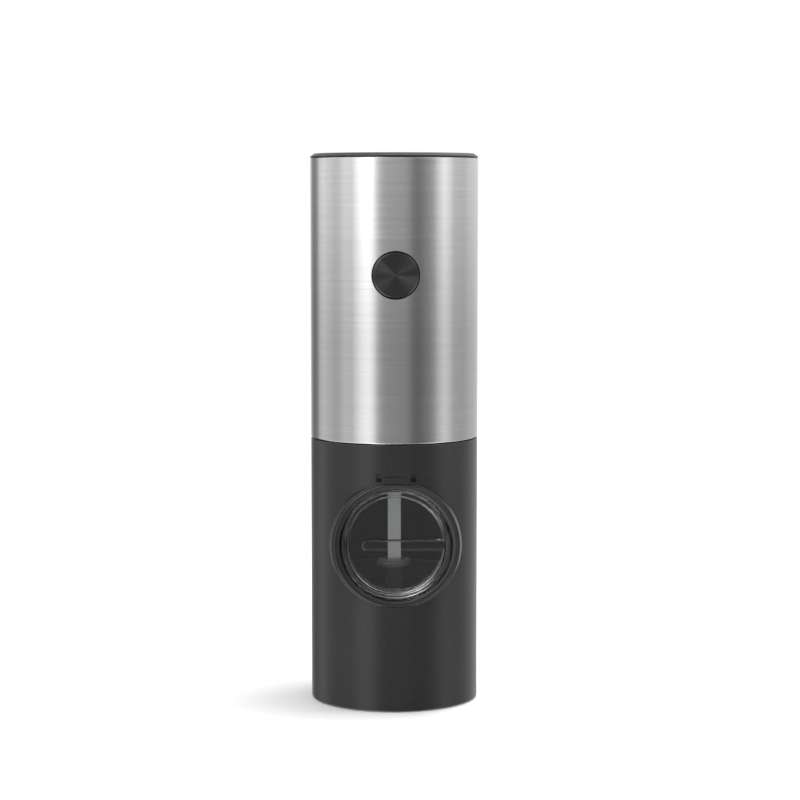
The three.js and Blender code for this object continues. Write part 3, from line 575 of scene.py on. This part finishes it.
def chamber_shell():
    """The black lower half: shell, sloping floor with the feed hole, and screw bosses underneath."""
    outer = RADIUS - PRINT_HEIGHT
    rim, mouth, under = 41, 13, 36  # the funnel's upper edge, its hole's radius and its underside
    profile = rounded([
        (BODY_BORE, 0, 0.3),
        (outer, 0, 0.8),
        (outer, BODY_TOP, 0.35),
        (BODY_BORE, BODY_TOP, 0.2),
        (BODY_BORE, rim, 2.5),
        (mouth + 1, rim - 2.4, 0.8),
        (mouth, rim - 3.2),
        (mouth, under, 0.3),
        (BODY_BORE, under, 0.5),
    ])
    shell = cut(turned("chamber_shell", profile), collar_hole())
    boss_bottom, boss_radius, pilot_radius, pilot_top = 5.9, 3, 1.4, 18
    for i in (1, 2, 3):
        at = middle(f"base_screw_{i}")
        boss = rod("boss", boss_radius, boss_bottom, under + 1)
        cut(boss, rod("pilot", pilot_radius, 0, pilot_top, 24))
        join(shell, shift(boss, (at.x, at.y, 0)))
    stands_for(shell, "chamber_body", BODY_BLACK)
    # painted shade: the chamber's inner wall is made darker than the body's own black
    paint(shell, CHAMBER_PAINTED_SHADE, lambda face: Vector(face.center[:2]).length < (BODY_BORE + 0.1) * MM)
    # painted light: the chamber floor's upward faces are made far lighter than the same black plastic, as
    # if lit from above
    paint(shell, CHAMBER_PAINTED_LIGHT, lambda face: face.normal.z > 0.5 and face.center.z < (rim + 1) * MM)
    extra(cut(window_flare(), collar_hole()), "housing", BODY_BLACK)


def collar_hole():
    """The hole for the collar, through the front wall only."""
    behind, before = 11.2, RADIUS + 5
    return facing_front(rod("hole", COLLAR_RADIUS + 0.03, behind, before, FINE), WINDOW_Z)


def window_flare():
    """The swelling of the body round the collar, outside the body's own curve."""
    inner, outer = COLLAR_RADIUS - 1, COLLAR_RADIUS + 1.2
    front = COLLAR_FRONT - 0.6
    profile = rounded([
        (inner, COLLAR_BACK),
        (outer, COLLAR_BACK),
        (outer, front - 3, 1.5),
        (COLLAR_RADIUS + 0.5, front, 0.4),
        (inner, front),
    ])
    flare = facing_front(turned("window_flare", profile), WINDOW_Z)
    return cut(flare, rod("curve", RADIUS - 1, 0, HEIGHT, FINE))


def collar():
    """The raised window collar: rounded outer edge, dished front and a bore for the lid."""
    bore = LID_RADIUS + 0.35
    profile = rounded([
        (bore, COLLAR_BACK, 0.2),
        (COLLAR_RADIUS, COLLAR_BACK, 0.2),
        (COLLAR_RADIUS, COLLAR_FRONT, 0.5),
        (bore + 0.6, COLLAR_FRONT - 0.5, 0.6),
        (bore, COLLAR_FRONT - 1.55, 0.3),
    ])
    stands_for(facing_front(turned("collar", profile), WINDOW_Z), "window_collar", COLLAR_BLACK)


def clear_lid():
    """The clear lid: a pane in a rounded rim, a spigot behind for the seal, and a bar to turn it by."""
    pane_back, pane_front = 22.6, 24.2
    spigot_bore, seal_seat, groove = 15.5, 16.4, 20.4
    back = -high("window_lid", 1)
    profile = rounded([
        (0, pane_back),
        (spigot_bore, pane_back, 0.4),
        (spigot_bore, back, 0.2),
        (seal_seat, back, 0.2),
        (seal_seat, groove, 0.1),
        (LID_RADIUS, groove, 0.2),
        (LID_RADIUS, LID_FRONT, 0.55),
        (PANE_RADIUS + 0.5, LID_FRONT, 0.25),
        (PANE_RADIUS, LID_FRONT - 0.9, 0.2),
        (PANE_RADIUS, pane_front, 0.45),
        (0, pane_front),
    ])
    lid = turned("clear_lid", profile)
    join(lid, lid_bar(pane_front))
    stands_for(facing_front(lid, WINDOW_Z), "window_lid", CLEAR_EDGE)
    paint(lid, CLEAR, lambda face: abs(face.normal.y) > 0.999 or face.center.y > -pane_back * MM)


def bar_outline(inset, height):
    """The bar's outline drawn in by an inset: a nib at the right, a half circle at the left."""
    half, left, right, nib = 1.8, -11, 16.2, 18.15
    side, arc_centre, steps = half - inset, left + half, 16
    arc = [math.pi * (0.5 + i / steps) for i in range(steps + 1)]
    points = [(nib - inset, -0.3), (nib - inset, 0.3), (right - inset, side)]
    points += [(arc_centre + side * math.cos(a), side * math.sin(a)) for a in arc]
    points.append((right - inset, -side))
    return [(x, y, height) for x, y in points]


def lid_bar(pane_front):
    """The bar: a rounded edge all round its top and a low ridge along its middle."""
    edge, steps = 0.6, 4
    shoulder = LID_FRONT - 0.35
    crest_right, crest_left, crest_height = 15.4, -9.2, LID_FRONT - 0.01
    levels = [bar_outline(0, pane_front - 0.3)]
    for i in range(steps + 1):
        angle = math.pi / 2 * i / steps
        inset, drop = edge * (1 - math.cos(angle)), edge * (1 - math.sin(angle))
        levels.append(bar_outline(inset, shoulder - drop))
    shape = bmesh.new()
    rings = [[shape.verts.new(Vector(point) * MM) for point in level] for level in levels]
    count = len(levels[0])
    shape.faces.new(rings[0])
    for lower, upper in zip(rings, rings[1:]):
        for i in range(count):
            j = (i + 1) % count
            shape.faces.new((lower[i], lower[j], upper[j], upper[i]))
    right, left = (
        shape.verts.new(Vector((x, 0, crest_height)) * MM) for x in (crest_right, crest_left)
    )
    top = rings[-1]
    for i in range(count):
        by_nib = i < 2 or i == count - 1
        shape.faces.new((top[i], top[(i + 1) % count], right if by_nib else left))
    shape.faces.new((top[2], left, right))
    shape.faces.new((top[count - 1], right, left))
    bar = bpy.data.objects.new("lid_bar", bpy.data.meshes.new("lid_bar"))
    bmesh.ops.recalc_face_normals(shape, faces=shape.faces)
    shape.to_mesh(bar.data)
    shape.free()
    bpy.context.scene.collection.objects.link(bar)
    return bar


def lid_seal():
    """The smoky seal ring round the lid's spigot."""
    inner, outer = 16.55, high("lid_seal", 0)
    bottom, top = 18.5, 20.2
    profile = rounded([(inner, bottom, 0.2), (outer, bottom, 0.5), (outer, top, 0.5), (inner, top, 0.2)])
    stands_for(facing_front(turned("lid_seal_ring", profile, 192), WINDOW_Z), "lid_seal", SMOKE)


def cap():
    """The black top cap with a bevelled edge, a skirt with a seal groove, and a plug for the holder."""
    under = HEIGHT - 1.4
    seal_outer, seal_wire = high("cap_seal", 0), 0.5
    seal_z = (low("cap_seal", 2) + high("cap_seal", 2)) / 2
    groove_bottom, groove_top = seal_z - 0.8, seal_z + 0.8
    skirt = seal_outer - 0.08
    groove = skirt - 1.2
    bottom = low("top_cap", 2)
    plug_radius, plug_bottom = 4.2, HEIGHT - 5.2
    profile = rounded([
        (0, plug_bottom),
        (plug_radius, plug_bottom, 0.3),
        (plug_radius, under - 0.5, 0.3),
        (skirt - 1.8, under - 0.5, 0.4),
        (skirt - 1.8, bottom, 0.3),
        (skirt, bottom, 0.3),
        (skirt, groove_bottom, 0.1),
        (groove, groove_bottom, 0.1),
        (groove, groove_top, 0.1),
        (skirt, groove_top, 0.1),
        (skirt, under, 0.1),
        (RADIUS, under, 0.1),
        (RADIUS, under + 0.45, 0.25),
        (RADIUS - 1.35, HEIGHT, 0.5),
        (0, HEIGHT),
    ], 4)
    stands_for(turned("cap", profile), "top_cap", CAP_BLACK)
    seal = circle(seal_wire, 12, (seal_outer - seal_wire, seal_z))
    stands_for(turned("cap_seal_ring", seal, 192), "cap_seal", RUBBER)


def push_button():
    """The button: a chamfered spun disc on a skirt, with a stem for the switch."""
    stem_radius, stem_back = 1.5, -high("button", 1)
    skirt_bore, skirt_back = 5.6, 23.6
    face_back = 26
    profile = rounded([
        (0, stem_back),
        (stem_radius, stem_back, 0.2),
        (stem_radius, face_back, 0.3),
        (skirt_bore, face_back, 0.3),
        (skirt_bore, skirt_back, 0.2),
        (BUTTON_RADIUS, skirt_back, 0.2),
        (BUTTON_RADIUS, BUTTON_FRONT - 0.35, 0.1),
        (BUTTON_RADIUS - 0.45, BUTTON_FRONT, 0.15),
        (0, BUTTON_FRONT),
    ])
    stands_for(facing_front(turned("spun_button", profile, 192), BUTTON_Z), "button", SPUN)


# ---- Printed lock signs ---------------------------------------------------------------------------
def on_body(piece):
    """Wraps a flat sign (x along the front, z up, thin along y) round the body's surface."""
    inner = RADIUS - 2 * PRINT_HEIGHT
    for vertex in piece.data.vertices:
        x, depth, z = vertex.co / MM
        radius = inner + depth
        vertex.co = Vector((radius * math.sin(x / RADIUS), -radius * math.cos(x / RADIUS), z)) * MM
    return piece


def sign(name, outline, height):
    """A printed sign from an outline of (distance along the front, height above a base height)."""
    made = prism(name, outline, 0, 2 * PRINT_HEIGHT)
    made.data.transform(Matrix.Rotation(math.pi / 2, 4, "X"))
    for vertex in made.data.vertices:
        vertex.co.y = -vertex.co.y
        vertex.co.z += height * MM
    return extra(on_body(made), "housing", PRINT_BLACK)


def shackle(across, base, is_open):
    """A half-ring band with straight legs; an open one leans over to the left."""
    outer, inner, leg, steps = 0.68, 0.42, 0.4, 12
    arch = [math.pi * i / steps for i in range(steps + 1)]
    points = [(outer, 0), *((outer * math.cos(a), leg + outer * math.sin(a)) for a in arch), (-outer, 0)]
    points += [(-inner, 0), *((inner * math.cos(a), leg + inner * math.sin(a)) for a in reversed(arch))]
    points += [(inner, 0)]
    turn = Matrix.Rotation(math.radians(35 if is_open else 0), 2)
    hinge = Vector((-0.55 if is_open else 0, 0))
    return [Vector((across, base)) + hinge + turn @ (Vector(p) - hinge) for p in points]


def lock_signs():
    """Two generic padlocks above the window, open at the left and closed at the right, and a line."""
    base = WINDOW_Z + 20.6
    half_width, body_height = 0.95, 1.35
    for across, is_open in ((-5.45, True), (5.75, False)):
        label = "open" if is_open else "closed"
        left, right = across - half_width, across + half_width
        body = [(left, 0, 0.2), (right, 0, 0.2), (right, body_height, 0.2), (left, body_height, 0.2)]
        sign(f"lock_body_{label}", rounded(body, 3), base)
        sign(f"lock_shackle_{label}", shackle(across, body_height - 0.02, is_open), base)
    start, end, thickness, steps = -3.7, 2.6, 0.2, 24
    upper = [(start + (end - start) * i / steps, thickness) for i in range(steps + 1)]
    line = [(x, 0) for x, _ in upper] + upper[::-1]
    sign("lock_line", line, base + 1.6)


# ---- Inside the window ----------------------------------------------------------------------------
def shaft_and_disc():
    """The square shaft, kept from the frame, and its pale grey disc, with painted light on the disc's top
    and painted shade on the hub under it.
    """
    keep("drive_shaft", SHAFT_METAL, 0.25)
    bottom, top = low("shaft_disc", 2), high("shaft_disc", 2)
    waist, hub_side = 43.7, 5.6
    hub_top = waist + 0.5
    socket_side = high("drive_shaft", 0) - low("drive_shaft", 0) + 0.3
    disc = rod("shaft_disc_fine", high("shaft_disc", 0), waist, top, MEDIUM, 1.1)
    join(disc, block("hub", (hub_side, hub_side, hub_top - bottom), (0, 0, (hub_top + bottom) / 2)))
    cut(disc, block("socket", (socket_side, socket_side, 2 * (top - bottom)), (0, 0, bottom)))
    stands_for(disc, "shaft_disc", DISC_GREY)
    # painted shade: the hub under the disc is painted in the dark inner black
    paint(disc, INNER_BLACK, lambda face: face.center.z < waist * MM)
    # painted light: the disc's upward faces are painted far lighter than its sides
    paint(disc, DISC_PAINTED_LIGHT, lambda face: face.normal.z > 0.9)


# ---- Batteries ------------------------------------------------------------------------------------
def cells():
    """Four cells, every other one upside down; the skin's shoulder rolls over each can."""
    nub, nub_radius = 1.0, 1.9
    for i in range(1, 5):
        node = f"battery_{i}"
        at = middle(node)
        bottom, top = low(node, 2), high(node, 2)
        length = top - bottom
        radius = high(node, 0) - at.x
        can = length - nub
        profile = rounded([
            (0, 0.15),
            (radius - 1.3, 0.15, 0.1),
            (radius - 1.1, 0, 0.1),
            (radius, 0, 0.45),
            (radius, can, 0.45),
            (radius - 0.9, can, 0.15),
            (radius - 1.2, can - 0.25, 0.1),
            (nub_radius, can - 0.25, 0.1),
            (nub_radius, length, 0.3),
            (0, length),
        ], 4)
        cell = turned(f"cell_{i}", profile, MEDIUM)
        nub_up = i % 2 == 1
        if not nub_up:
            cell.data.transform(Matrix.Rotation(math.pi, 4, "X"))
        shift(cell, (at.x, at.y, bottom if nub_up else top))
        stands_for(cell, node, CELL_SKIN)
        paint(cell, PLATED, lambda face: (face.center / MM - at).xy.length < radius - 0.35)
        spring_node = f"battery_spring_{i}"
        spring = coil(f"cell_spring_{i}", 3, 0.25, low(spring_node, 2), high(spring_node, 2), 2)
        stands_for(shift(spring, (at.x, at.y, 0)), spring_node, SPRING_STEEL)


def battery_frame():
    """The removable holder: two plates, a cross wall between the cells, and a socket for the cap."""
    bottom, top = low("battery_holder", 2), high("battery_holder", 2)
    radius = high("battery_holder", 0)
    plate_top = 174.6
    low_plate = rod("battery_frame", radius, bottom, bottom + 1.5, MEDIUM, 0.3)
    wall_size = (2 * radius - 1, 1.2, plate_top - bottom - 1.5)
    walls = [
        shift(block("wall", wall_size, (0, 0, 0)), (0, 0, (plate_top + bottom) / 2), turn)
        for turn in (0, 90)
    ]
    top_plate = rod("top_plate", radius, plate_top - 1.2, plate_top, MEDIUM, 0.3)
    socket = ring("socket", 4.5, 6.2, plate_top - 0.5, top, MEDIUM, 0.2)
    stands_for(join(low_plate, *walls, top_plate, socket), "battery_holder", INNER_BLACK)


# ---- Grinder, seen from below ---------------------------------------------------------------------
def ridged_cone(name, ridges, depth, bottom_radius, top_radius, bottom, top, twist):
    """A cone with twisted saw-tooth ridges."""
    per_ridge, levels = 6, 16
    around = ridges * per_ridge
    vertices = []
    for level in range(levels + 1):
        t = level / levels
        radius = bottom_radius + (top_radius - bottom_radius) * t
        for i in range(around):
            rise = abs((i % per_ridge) / per_ridge - 0.5) * 2
            r = radius * (1 - depth + depth * rise)
            angle = 2 * math.pi * i / around + twist * t
            vertices.append((r * math.cos(angle), r * math.sin(angle), bottom + (top - bottom) * t))
    faces = [
        (k * around + i, k * around + (i + 1) % around,
         (k + 1) * around + (i + 1) % around, (k + 1) * around + i)
        for k in range(levels)
        for i in range(around)
    ]
    last = levels * around
    faces += [range(around), range(last, last + around)]
    return mesh_object(name, vertices, faces)


def burrs():
    """The ridged cone on the shaft, and the ridged ring round it."""
    bottom, socket_side = low("rotor_burr", 2), 4.85
    rotor = ridged_cone("rotor", ridges=14, depth=0.1, bottom_radius=11.2, top_radius=7.2,
                        bottom=bottom, top=high("rotor_burr", 2), twist=-0.5)
    cut(rotor, block("socket", (socket_side, socket_side, 30), (0, 0, bottom + 5)))
    stands_for(rotor, "rotor_burr", CERAMIC)
    top = high("stator_burr", 2)
    stator = rod("stator", high("stator_burr", 0), bottom, top, MEDIUM, 0.3)
    cut(stator, ridged_cone("cutter", ridges=18, depth=0.08, bottom_radius=13.2, top_radius=12.2,
                            bottom=bottom - 1, top=top + 1.3, twist=0.35))
    stands_for(stator, "stator_burr", CERAMIC)


def grinder():
    """The burrs' holder with its screwed flange, the knob, the screws and the spring."""
    flange_bottom, flange_top, flange_radius = low("burr_holder", 2), 5.6, BODY_BORE - GAP
    tube_top, tube_radius, tube_bore = 34, 18.4, 17.3
    ledge_top, mouth = 6.3, 15.4
    screw_hole = 1.4
    profile = rounded([
        (mouth, flange_bottom, 0.3),
        (flange_radius, flange_bottom, 0.4),
        (flange_radius, flange_top, 0.3),
        (tube_radius, flange_top, 0.3),
        (tube_radius, tube_top, 0.2),
        (tube_bore, tube_top, 0.2),
        (tube_bore, ledge_top, 0.1),
        (mouth, ledge_top, 0.2),
    ], 4)
    holder = turned("grinder_holder", profile)
    for i in (1, 2, 3):
        at = middle(f"base_screw_{i}")
        cut(holder, shift(rod("hole", screw_hole, 1, 8, 24), (at.x, at.y, 0)))
    stands_for(holder, "burr_holder", INNER_BLACK)
    knob()
    for i in (1, 2, 3):
        screw(f"base_screw_{i}", head=2.3, head_height=1.5, shank=1.05, length=11, head_down=True)
    stands_for(coil("grinder_spring", 4.3, 0.35, low("burr_spring", 2), high("burr_spring", 2), 4),
               "burr_spring", SPRING_STEEL)


def knob():
    """The fineness knob under the mill, with finger notches and a raised centre."""
    bottom, top, radius = low("adjuster_knob", 2), high("adjuster_knob", 2), 7.6
    profile = rounded([
        (0, bottom + 0.6),
        (4.2, bottom + 0.6, 0.2),
        (4.6, bottom, 0.2),
        (radius, bottom, 0.6),
        (radius, top, 0.3),
        (0, top),
    ], 4)
    grip = turned("fineness_knob", profile, MEDIUM)
    notch_count, notch_radius, thread_bore = 8, 0.9, 2.2
    notches = [
        shift(rod("notch", notch_radius, 0, top - 1, 20),
              Matrix.Rotation(2 * math.pi * i / notch_count, 3, "Z") @ Vector((radius + 0.3, 0, 0)))
        for i in range(notch_count)
    ]
    cut(grip, rod("bore", thread_bore, 0, top + 1), *notches)
    stands_for(grip, "adjuster_knob", INNER_BLACK)


def screw(node, head, head_height, shank, length, head_down):
    """A pan-head screw with a cross recess and a thread, its head at the node's lower or upper end."""
    profile = rounded([
        (0, -length),
        (shank * 0.5, -length, 0.1),
        (shank * 0.8, shank - length, 0.1),
        (shank * 0.8, 0),
        (head, 0, 0.15),
        (head, head_height * 0.55, 0.3),
        (head * 0.62, head_height, 0.3),
        (0, head_height),
    ], 4)
    made = turned(f"{node}_fine", profile, SMALL)
    slot_size = (head * 1.2, head * 0.28, head_height)
    cut(made, *[
        shift(block("slot", slot_size, (0, 0, head_height)), (0, 0, 0), turn)
        for turn in (0, 90)
    ])
    thread = coil("thread", shank * 0.82, shank * 0.16, -length + 0.6, -0.5, 12)
    merge(made, thread)
    seat = high(node, 2) - head_height
    if head_down:
        made.data.transform(Matrix.Rotation(math.pi, 4, "X"))
        seat = high(node, 2) - length
    at = middle(node)
    shift(made, (at.x, at.y, seat))
    stands_for(made, node, PLATED)


def merge(piece, other):
    """Puts another mesh into a piece without a boolean."""
    shape = bmesh.new()
    shape.from_mesh(piece.data)
    shape.from_mesh(other.data)
    shape.to_mesh(piece.data)
    shape.free()
    bpy.data.objects.remove(other)


# ---- Upper unit's inside --------------------------------------------------------------------------
def inner_chassis():
    """The inner casing: a neck that fits the chamber, a shelf for the motor unit, and a button hole."""
    radius = high("chassis", 0)
    bore = radius - 1.7
    bottom, top = low("chassis", 2), high("chassis", 2)
    neck, neck_bore = BODY_BORE - GAP, 22.6
    shoulder = BODY_TOP + 0.3
    shelf_bottom, shelf_top = 104.2, 106.2
    motor_hole, button_hole, screw_hole = 12.8, 9.8, 1.3
    profile = rounded([
        (neck_bore, bottom, 0.2),
        (neck, bottom, 0.3),
        (neck, shoulder, 0.1),
        (radius, shoulder, 0.1),
        (radius, top, 0.25),
        (bore, top, 0.25),
        (bore, shelf_top, 0.5),
        (motor_hole, shelf_top, 0.3),
        (motor_hole, shelf_bottom, 0.3),
        (neck_bore, shelf_bottom, 0.5),
    ], 4)
    casing = turned("inner_casing", profile)
    cut(casing, facing_front(rod("hole", button_hole, 20, RADIUS, MEDIUM), BUTTON_Z))
    for i in (1, 2, 3):
        at = middle(f"gearbox_screw_{i}")
        hole = rod("hole", screw_hole, shelf_bottom - 1.2, shelf_top + 1.8, 24)
        cut(casing, shift(hole, (at.x, at.y, 0)))
    stands_for(casing, "chassis", INNER_BLACK)


def drive_unit():
    """Gears and other hidden pieces, kept from the frame, with new screws, motor and button spring."""
    for node in ("gearbox_housing", "gearbox_cover", "output_carrier", "first_carrier"):
        keep(node, ACETAL, 0.08)
    for stage in ("output", "first"):
        for i in (1, 2, 3):
            keep(f"{stage}_planet_{i}", ACETAL, 0.06)
    for node, look in (
        ("output_bush", BRONZE), ("motor_pinion", BRASS), ("motor_magnet", MAGNET),
        ("armature", COPPER), ("motor_shaft", PLATED), ("burr_bridge", INNER_BLACK),
        ("chamber_ceiling", INNER_BLACK), ("shaft_seal", SILICONE), ("button_guide", INNER_BLACK),
        ("switch_body", INNER_BLACK), ("switch_plunger", ACETAL), ("switch_board", BOARD_GREEN),
    ):
        keep(node, look, 0.08)
    for i in (1, 2, 3):
        screw(f"gearbox_screw_{i}", head=2.1, head_height=1.4, shank=1, length=8.4, head_down=False)
    motor()
    spring = coil("push_spring", 4, 0.3, 22.4, 25.8, 3)
    stands_for(facing_front(spring, BUTTON_Z), "button_spring", SPRING_STEEL)


def motor():
    """The motor's can and end cap."""
    radius = high("motor_can", 0)
    nose, front, top = low("motor_can", 2), 104.4, high("motor_can", 2)
    nose_radius, shaft_hole, wall = 3.2, 1.2, 0.8
    profile = rounded([
        (shaft_hole, nose),
        (nose_radius, nose, 0.2),
        (nose_radius, front, 0.2),
        (radius, front, 0.8),
        (radius, top, 0.2),
        (radius - wall, top, 0.1),
        (radius - wall, front + 1, 0.4),
        (shaft_hole, front + 1),
    ], 5)
    stands_for(turned("motor_case", profile, MEDIUM), "motor_can", PLATED)
    bottom, plate_top, hub_top, tab_top = low("motor_end_cap", 2), 121.4, 122.8, 123.6
    bearing_bore, bearing_top = 1.1, 122
    profile = rounded([
        (0, bottom),
        (radius, bottom, 0.1),
        (radius, plate_top, 0.5),
        (nose_radius, plate_top, 0.3),
        (nose_radius, hub_top, 0.4),
        (0, hub_top),
    ], 4)
    end = turned("motor_back", profile, MEDIUM)
    cut(end, rod("bore", bearing_bore, bottom - 1, bearing_top, 24))
    tab_foot = plate_top - 0.5
    tab_size = (2.4, 0.8, tab_top - tab_foot)
    tabs = [block("tab", tab_size, (x, 0, (tab_top + tab_foot) / 2)) for x in (-7.6, 7.6)]
    stands_for(join(end, *tabs), "motor_end_cap", ACETAL)


# ---- Stage, light and camera ----------------------------------------------------------------------
def floor():
    """A plain white floor, which the steel and the clear lid don't reflect."""
    half = 6 / MM
    corners = [(-half, -half, 0), (half, -half, 0), (half, half, 0), (-half, half, 0)]
    made = mesh_object("floor", corners, [(0, 1, 2, 3)])
    look = material("floor_white", (0.98, 0.98, 0.98), 0.9)
    tint(look, noise(look, (3, 3, 3), 2), (0.975, 0.975, 0.975), (0.985, 0.985, 0.985))
    made.data.materials.append(look)
    made.visible_glossy = False
    made.visible_transmission = False


def studio():
    """Soft light all round, with pale and dark panels that only reflections see."""
    world = bpy.data.worlds.new("studio")
    bpy.context.scene.world = world
    world.use_nodes = True
    tree = world.node_tree
    tree.nodes.clear()

    def node(kind, **values):
        made = tree.nodes.new(kind)
        for key, value in values.items():
            setattr(made, key, value)
        return made

    place = node("ShaderNodeTexCoord")
    split = node("ShaderNodeSeparateXYZ")
    flip = node("ShaderNodeMath", operation="MULTIPLY")
    flip.inputs[1].default_value = -1
    around = node("ShaderNodeMath", operation="ARCTAN2")
    share = node("ShaderNodeMapRange")
    share.inputs["From Min"].default_value = -math.pi
    share.inputs["From Max"].default_value = math.pi
    panels = node("ShaderNodeValToRGB")
    panels.color_ramp.interpolation = "EASE"
    # (degrees round from the front towards +X, brightness)
    fill_ramp(panels.color_ramp, [
        (-178, 0.9), (-147, 0.24), (-135, 0.3), (-125, 0.8), (-116, 0.92), (-102, 0.76), (-90, 0.61),
        (-84, 0.65), (-73, 0.86), (-61, 0.78), (-54, 1.18), (-45, 1.48), (-36, 1.55), (-30, 1.15),
        (-23, 0.52), (-16, 0.4), (-6, 0.375), (13, 0.355), (20, 0.3), (26, 0.19), (34, 0.165), (44, 0.235),
        (55, 0.34), (63, 0.71), (72, 1.06), (80, 0.94), (90, 0.63), (110, 0.6), (127, 0.74), (150, 0.76),
    ])
    ceiling = node("ShaderNodeMapRange", interpolation_type="SMOOTHSTEP")
    ceiling.inputs["From Min"].default_value = 0.35
    ceiling.inputs["From Max"].default_value = 0.75
    ceiling.inputs["To Min"].default_value = 1.0
    ceiling.inputs["To Max"].default_value = 3.0
    steep = node("ShaderNodeMath", operation="ABSOLUTE")
    rays = node("ShaderNodeLightPath")
    soft = node("ShaderNodeBackground")
    soft.inputs["Color"].default_value = (1, 1, 1, 1)
    soft.inputs["Strength"].default_value = 1.0
    shiny = node("ShaderNodeBackground")
    either = node("ShaderNodeMath", operation="MAXIMUM")
    choose = node("ShaderNodeMixShader")
    output = node("ShaderNodeOutputWorld")
    for source, target in (
        (place.outputs["Generated"], split.inputs["Vector"]),
        (split.outputs["Y"], flip.inputs[0]),
        (split.outputs["X"], around.inputs[0]),
        (flip.outputs["Value"], around.inputs[1]),
        (around.outputs["Value"], share.inputs["Value"]),
        (share.outputs["Result"], panels.inputs["Fac"]),
        (panels.outputs["Color"], shiny.inputs["Color"]),
        (split.outputs["Z"], steep.inputs[0]),
        (steep.outputs["Value"], ceiling.inputs["Value"]),
        (ceiling.outputs["Result"], shiny.inputs["Strength"]),
        (rays.outputs["Is Glossy Ray"], either.inputs[0]),
        (rays.outputs["Is Transmission Ray"], either.inputs[1]),
        (either.outputs["Value"], choose.inputs["Fac"]),
        (soft.outputs["Background"], choose.inputs[1]),
        (shiny.outputs["Background"], choose.inputs[2]),
        (choose.outputs["Shader"], output.inputs["Surface"]),
    ):
        tree.links.new(source, target)


def soft_box(name, at, size, power):
    """A lamp aimed at the lower half of the mill, in metres and watts, which reflections don't see."""
    light = bpy.data.lights.new(name, "AREA")
    light.shape = "RECTANGLE"
    light.size, light.size_y = size
    light.energy = power
    made = bpy.data.objects.new(name, light)
    made.location = at
    made.rotation_euler = (Vector((0, 0, 0.08)) - Vector(at)).to_track_quat("-Z", "Y").to_euler()
    made.visible_glossy = False
    bpy.context.scene.collection.objects.link(made)


def camera():
    """A long lens about 0.75 m away, a little higher than the button and looking down by 5 degrees."""
    distance, height, tilt = 749.6, 167.0, 5.19
    aside = math.radians(1.1)
    lens = bpy.data.cameras.new("camera")
    lens.lens = 102.35
    lens.sensor_width = 36
    lens.dof.use_dof = False
    made = bpy.data.objects.new("camera", lens)
    made.location = Vector((-distance * math.sin(aside), -distance * math.cos(aside), height)) * MM
    pan = math.atan(1.93 / distance)
    made.rotation_euler = (math.radians(90 - tilt), 0, -aside - pan)
    bpy.context.scene.collection.objects.link(made)
    bpy.context.scene.camera = made


# ---- The whole scene ------------------------------------------------------------------------------
camera()
studio()
floor()
soft_box("key", (0.165, 0.05, 1.0), (0.28, 0.28), 4.8)
bpy.context.scene.view_settings.view_transform = "Standard"

sleeve()
chamber_shell()
collar()
clear_lid()
lid_seal()
cap()
push_button()
lock_signs()
shaft_and_disc()
cells()
battery_frame()
burrs()
grinder()
inner_chassis()
drive_unit()
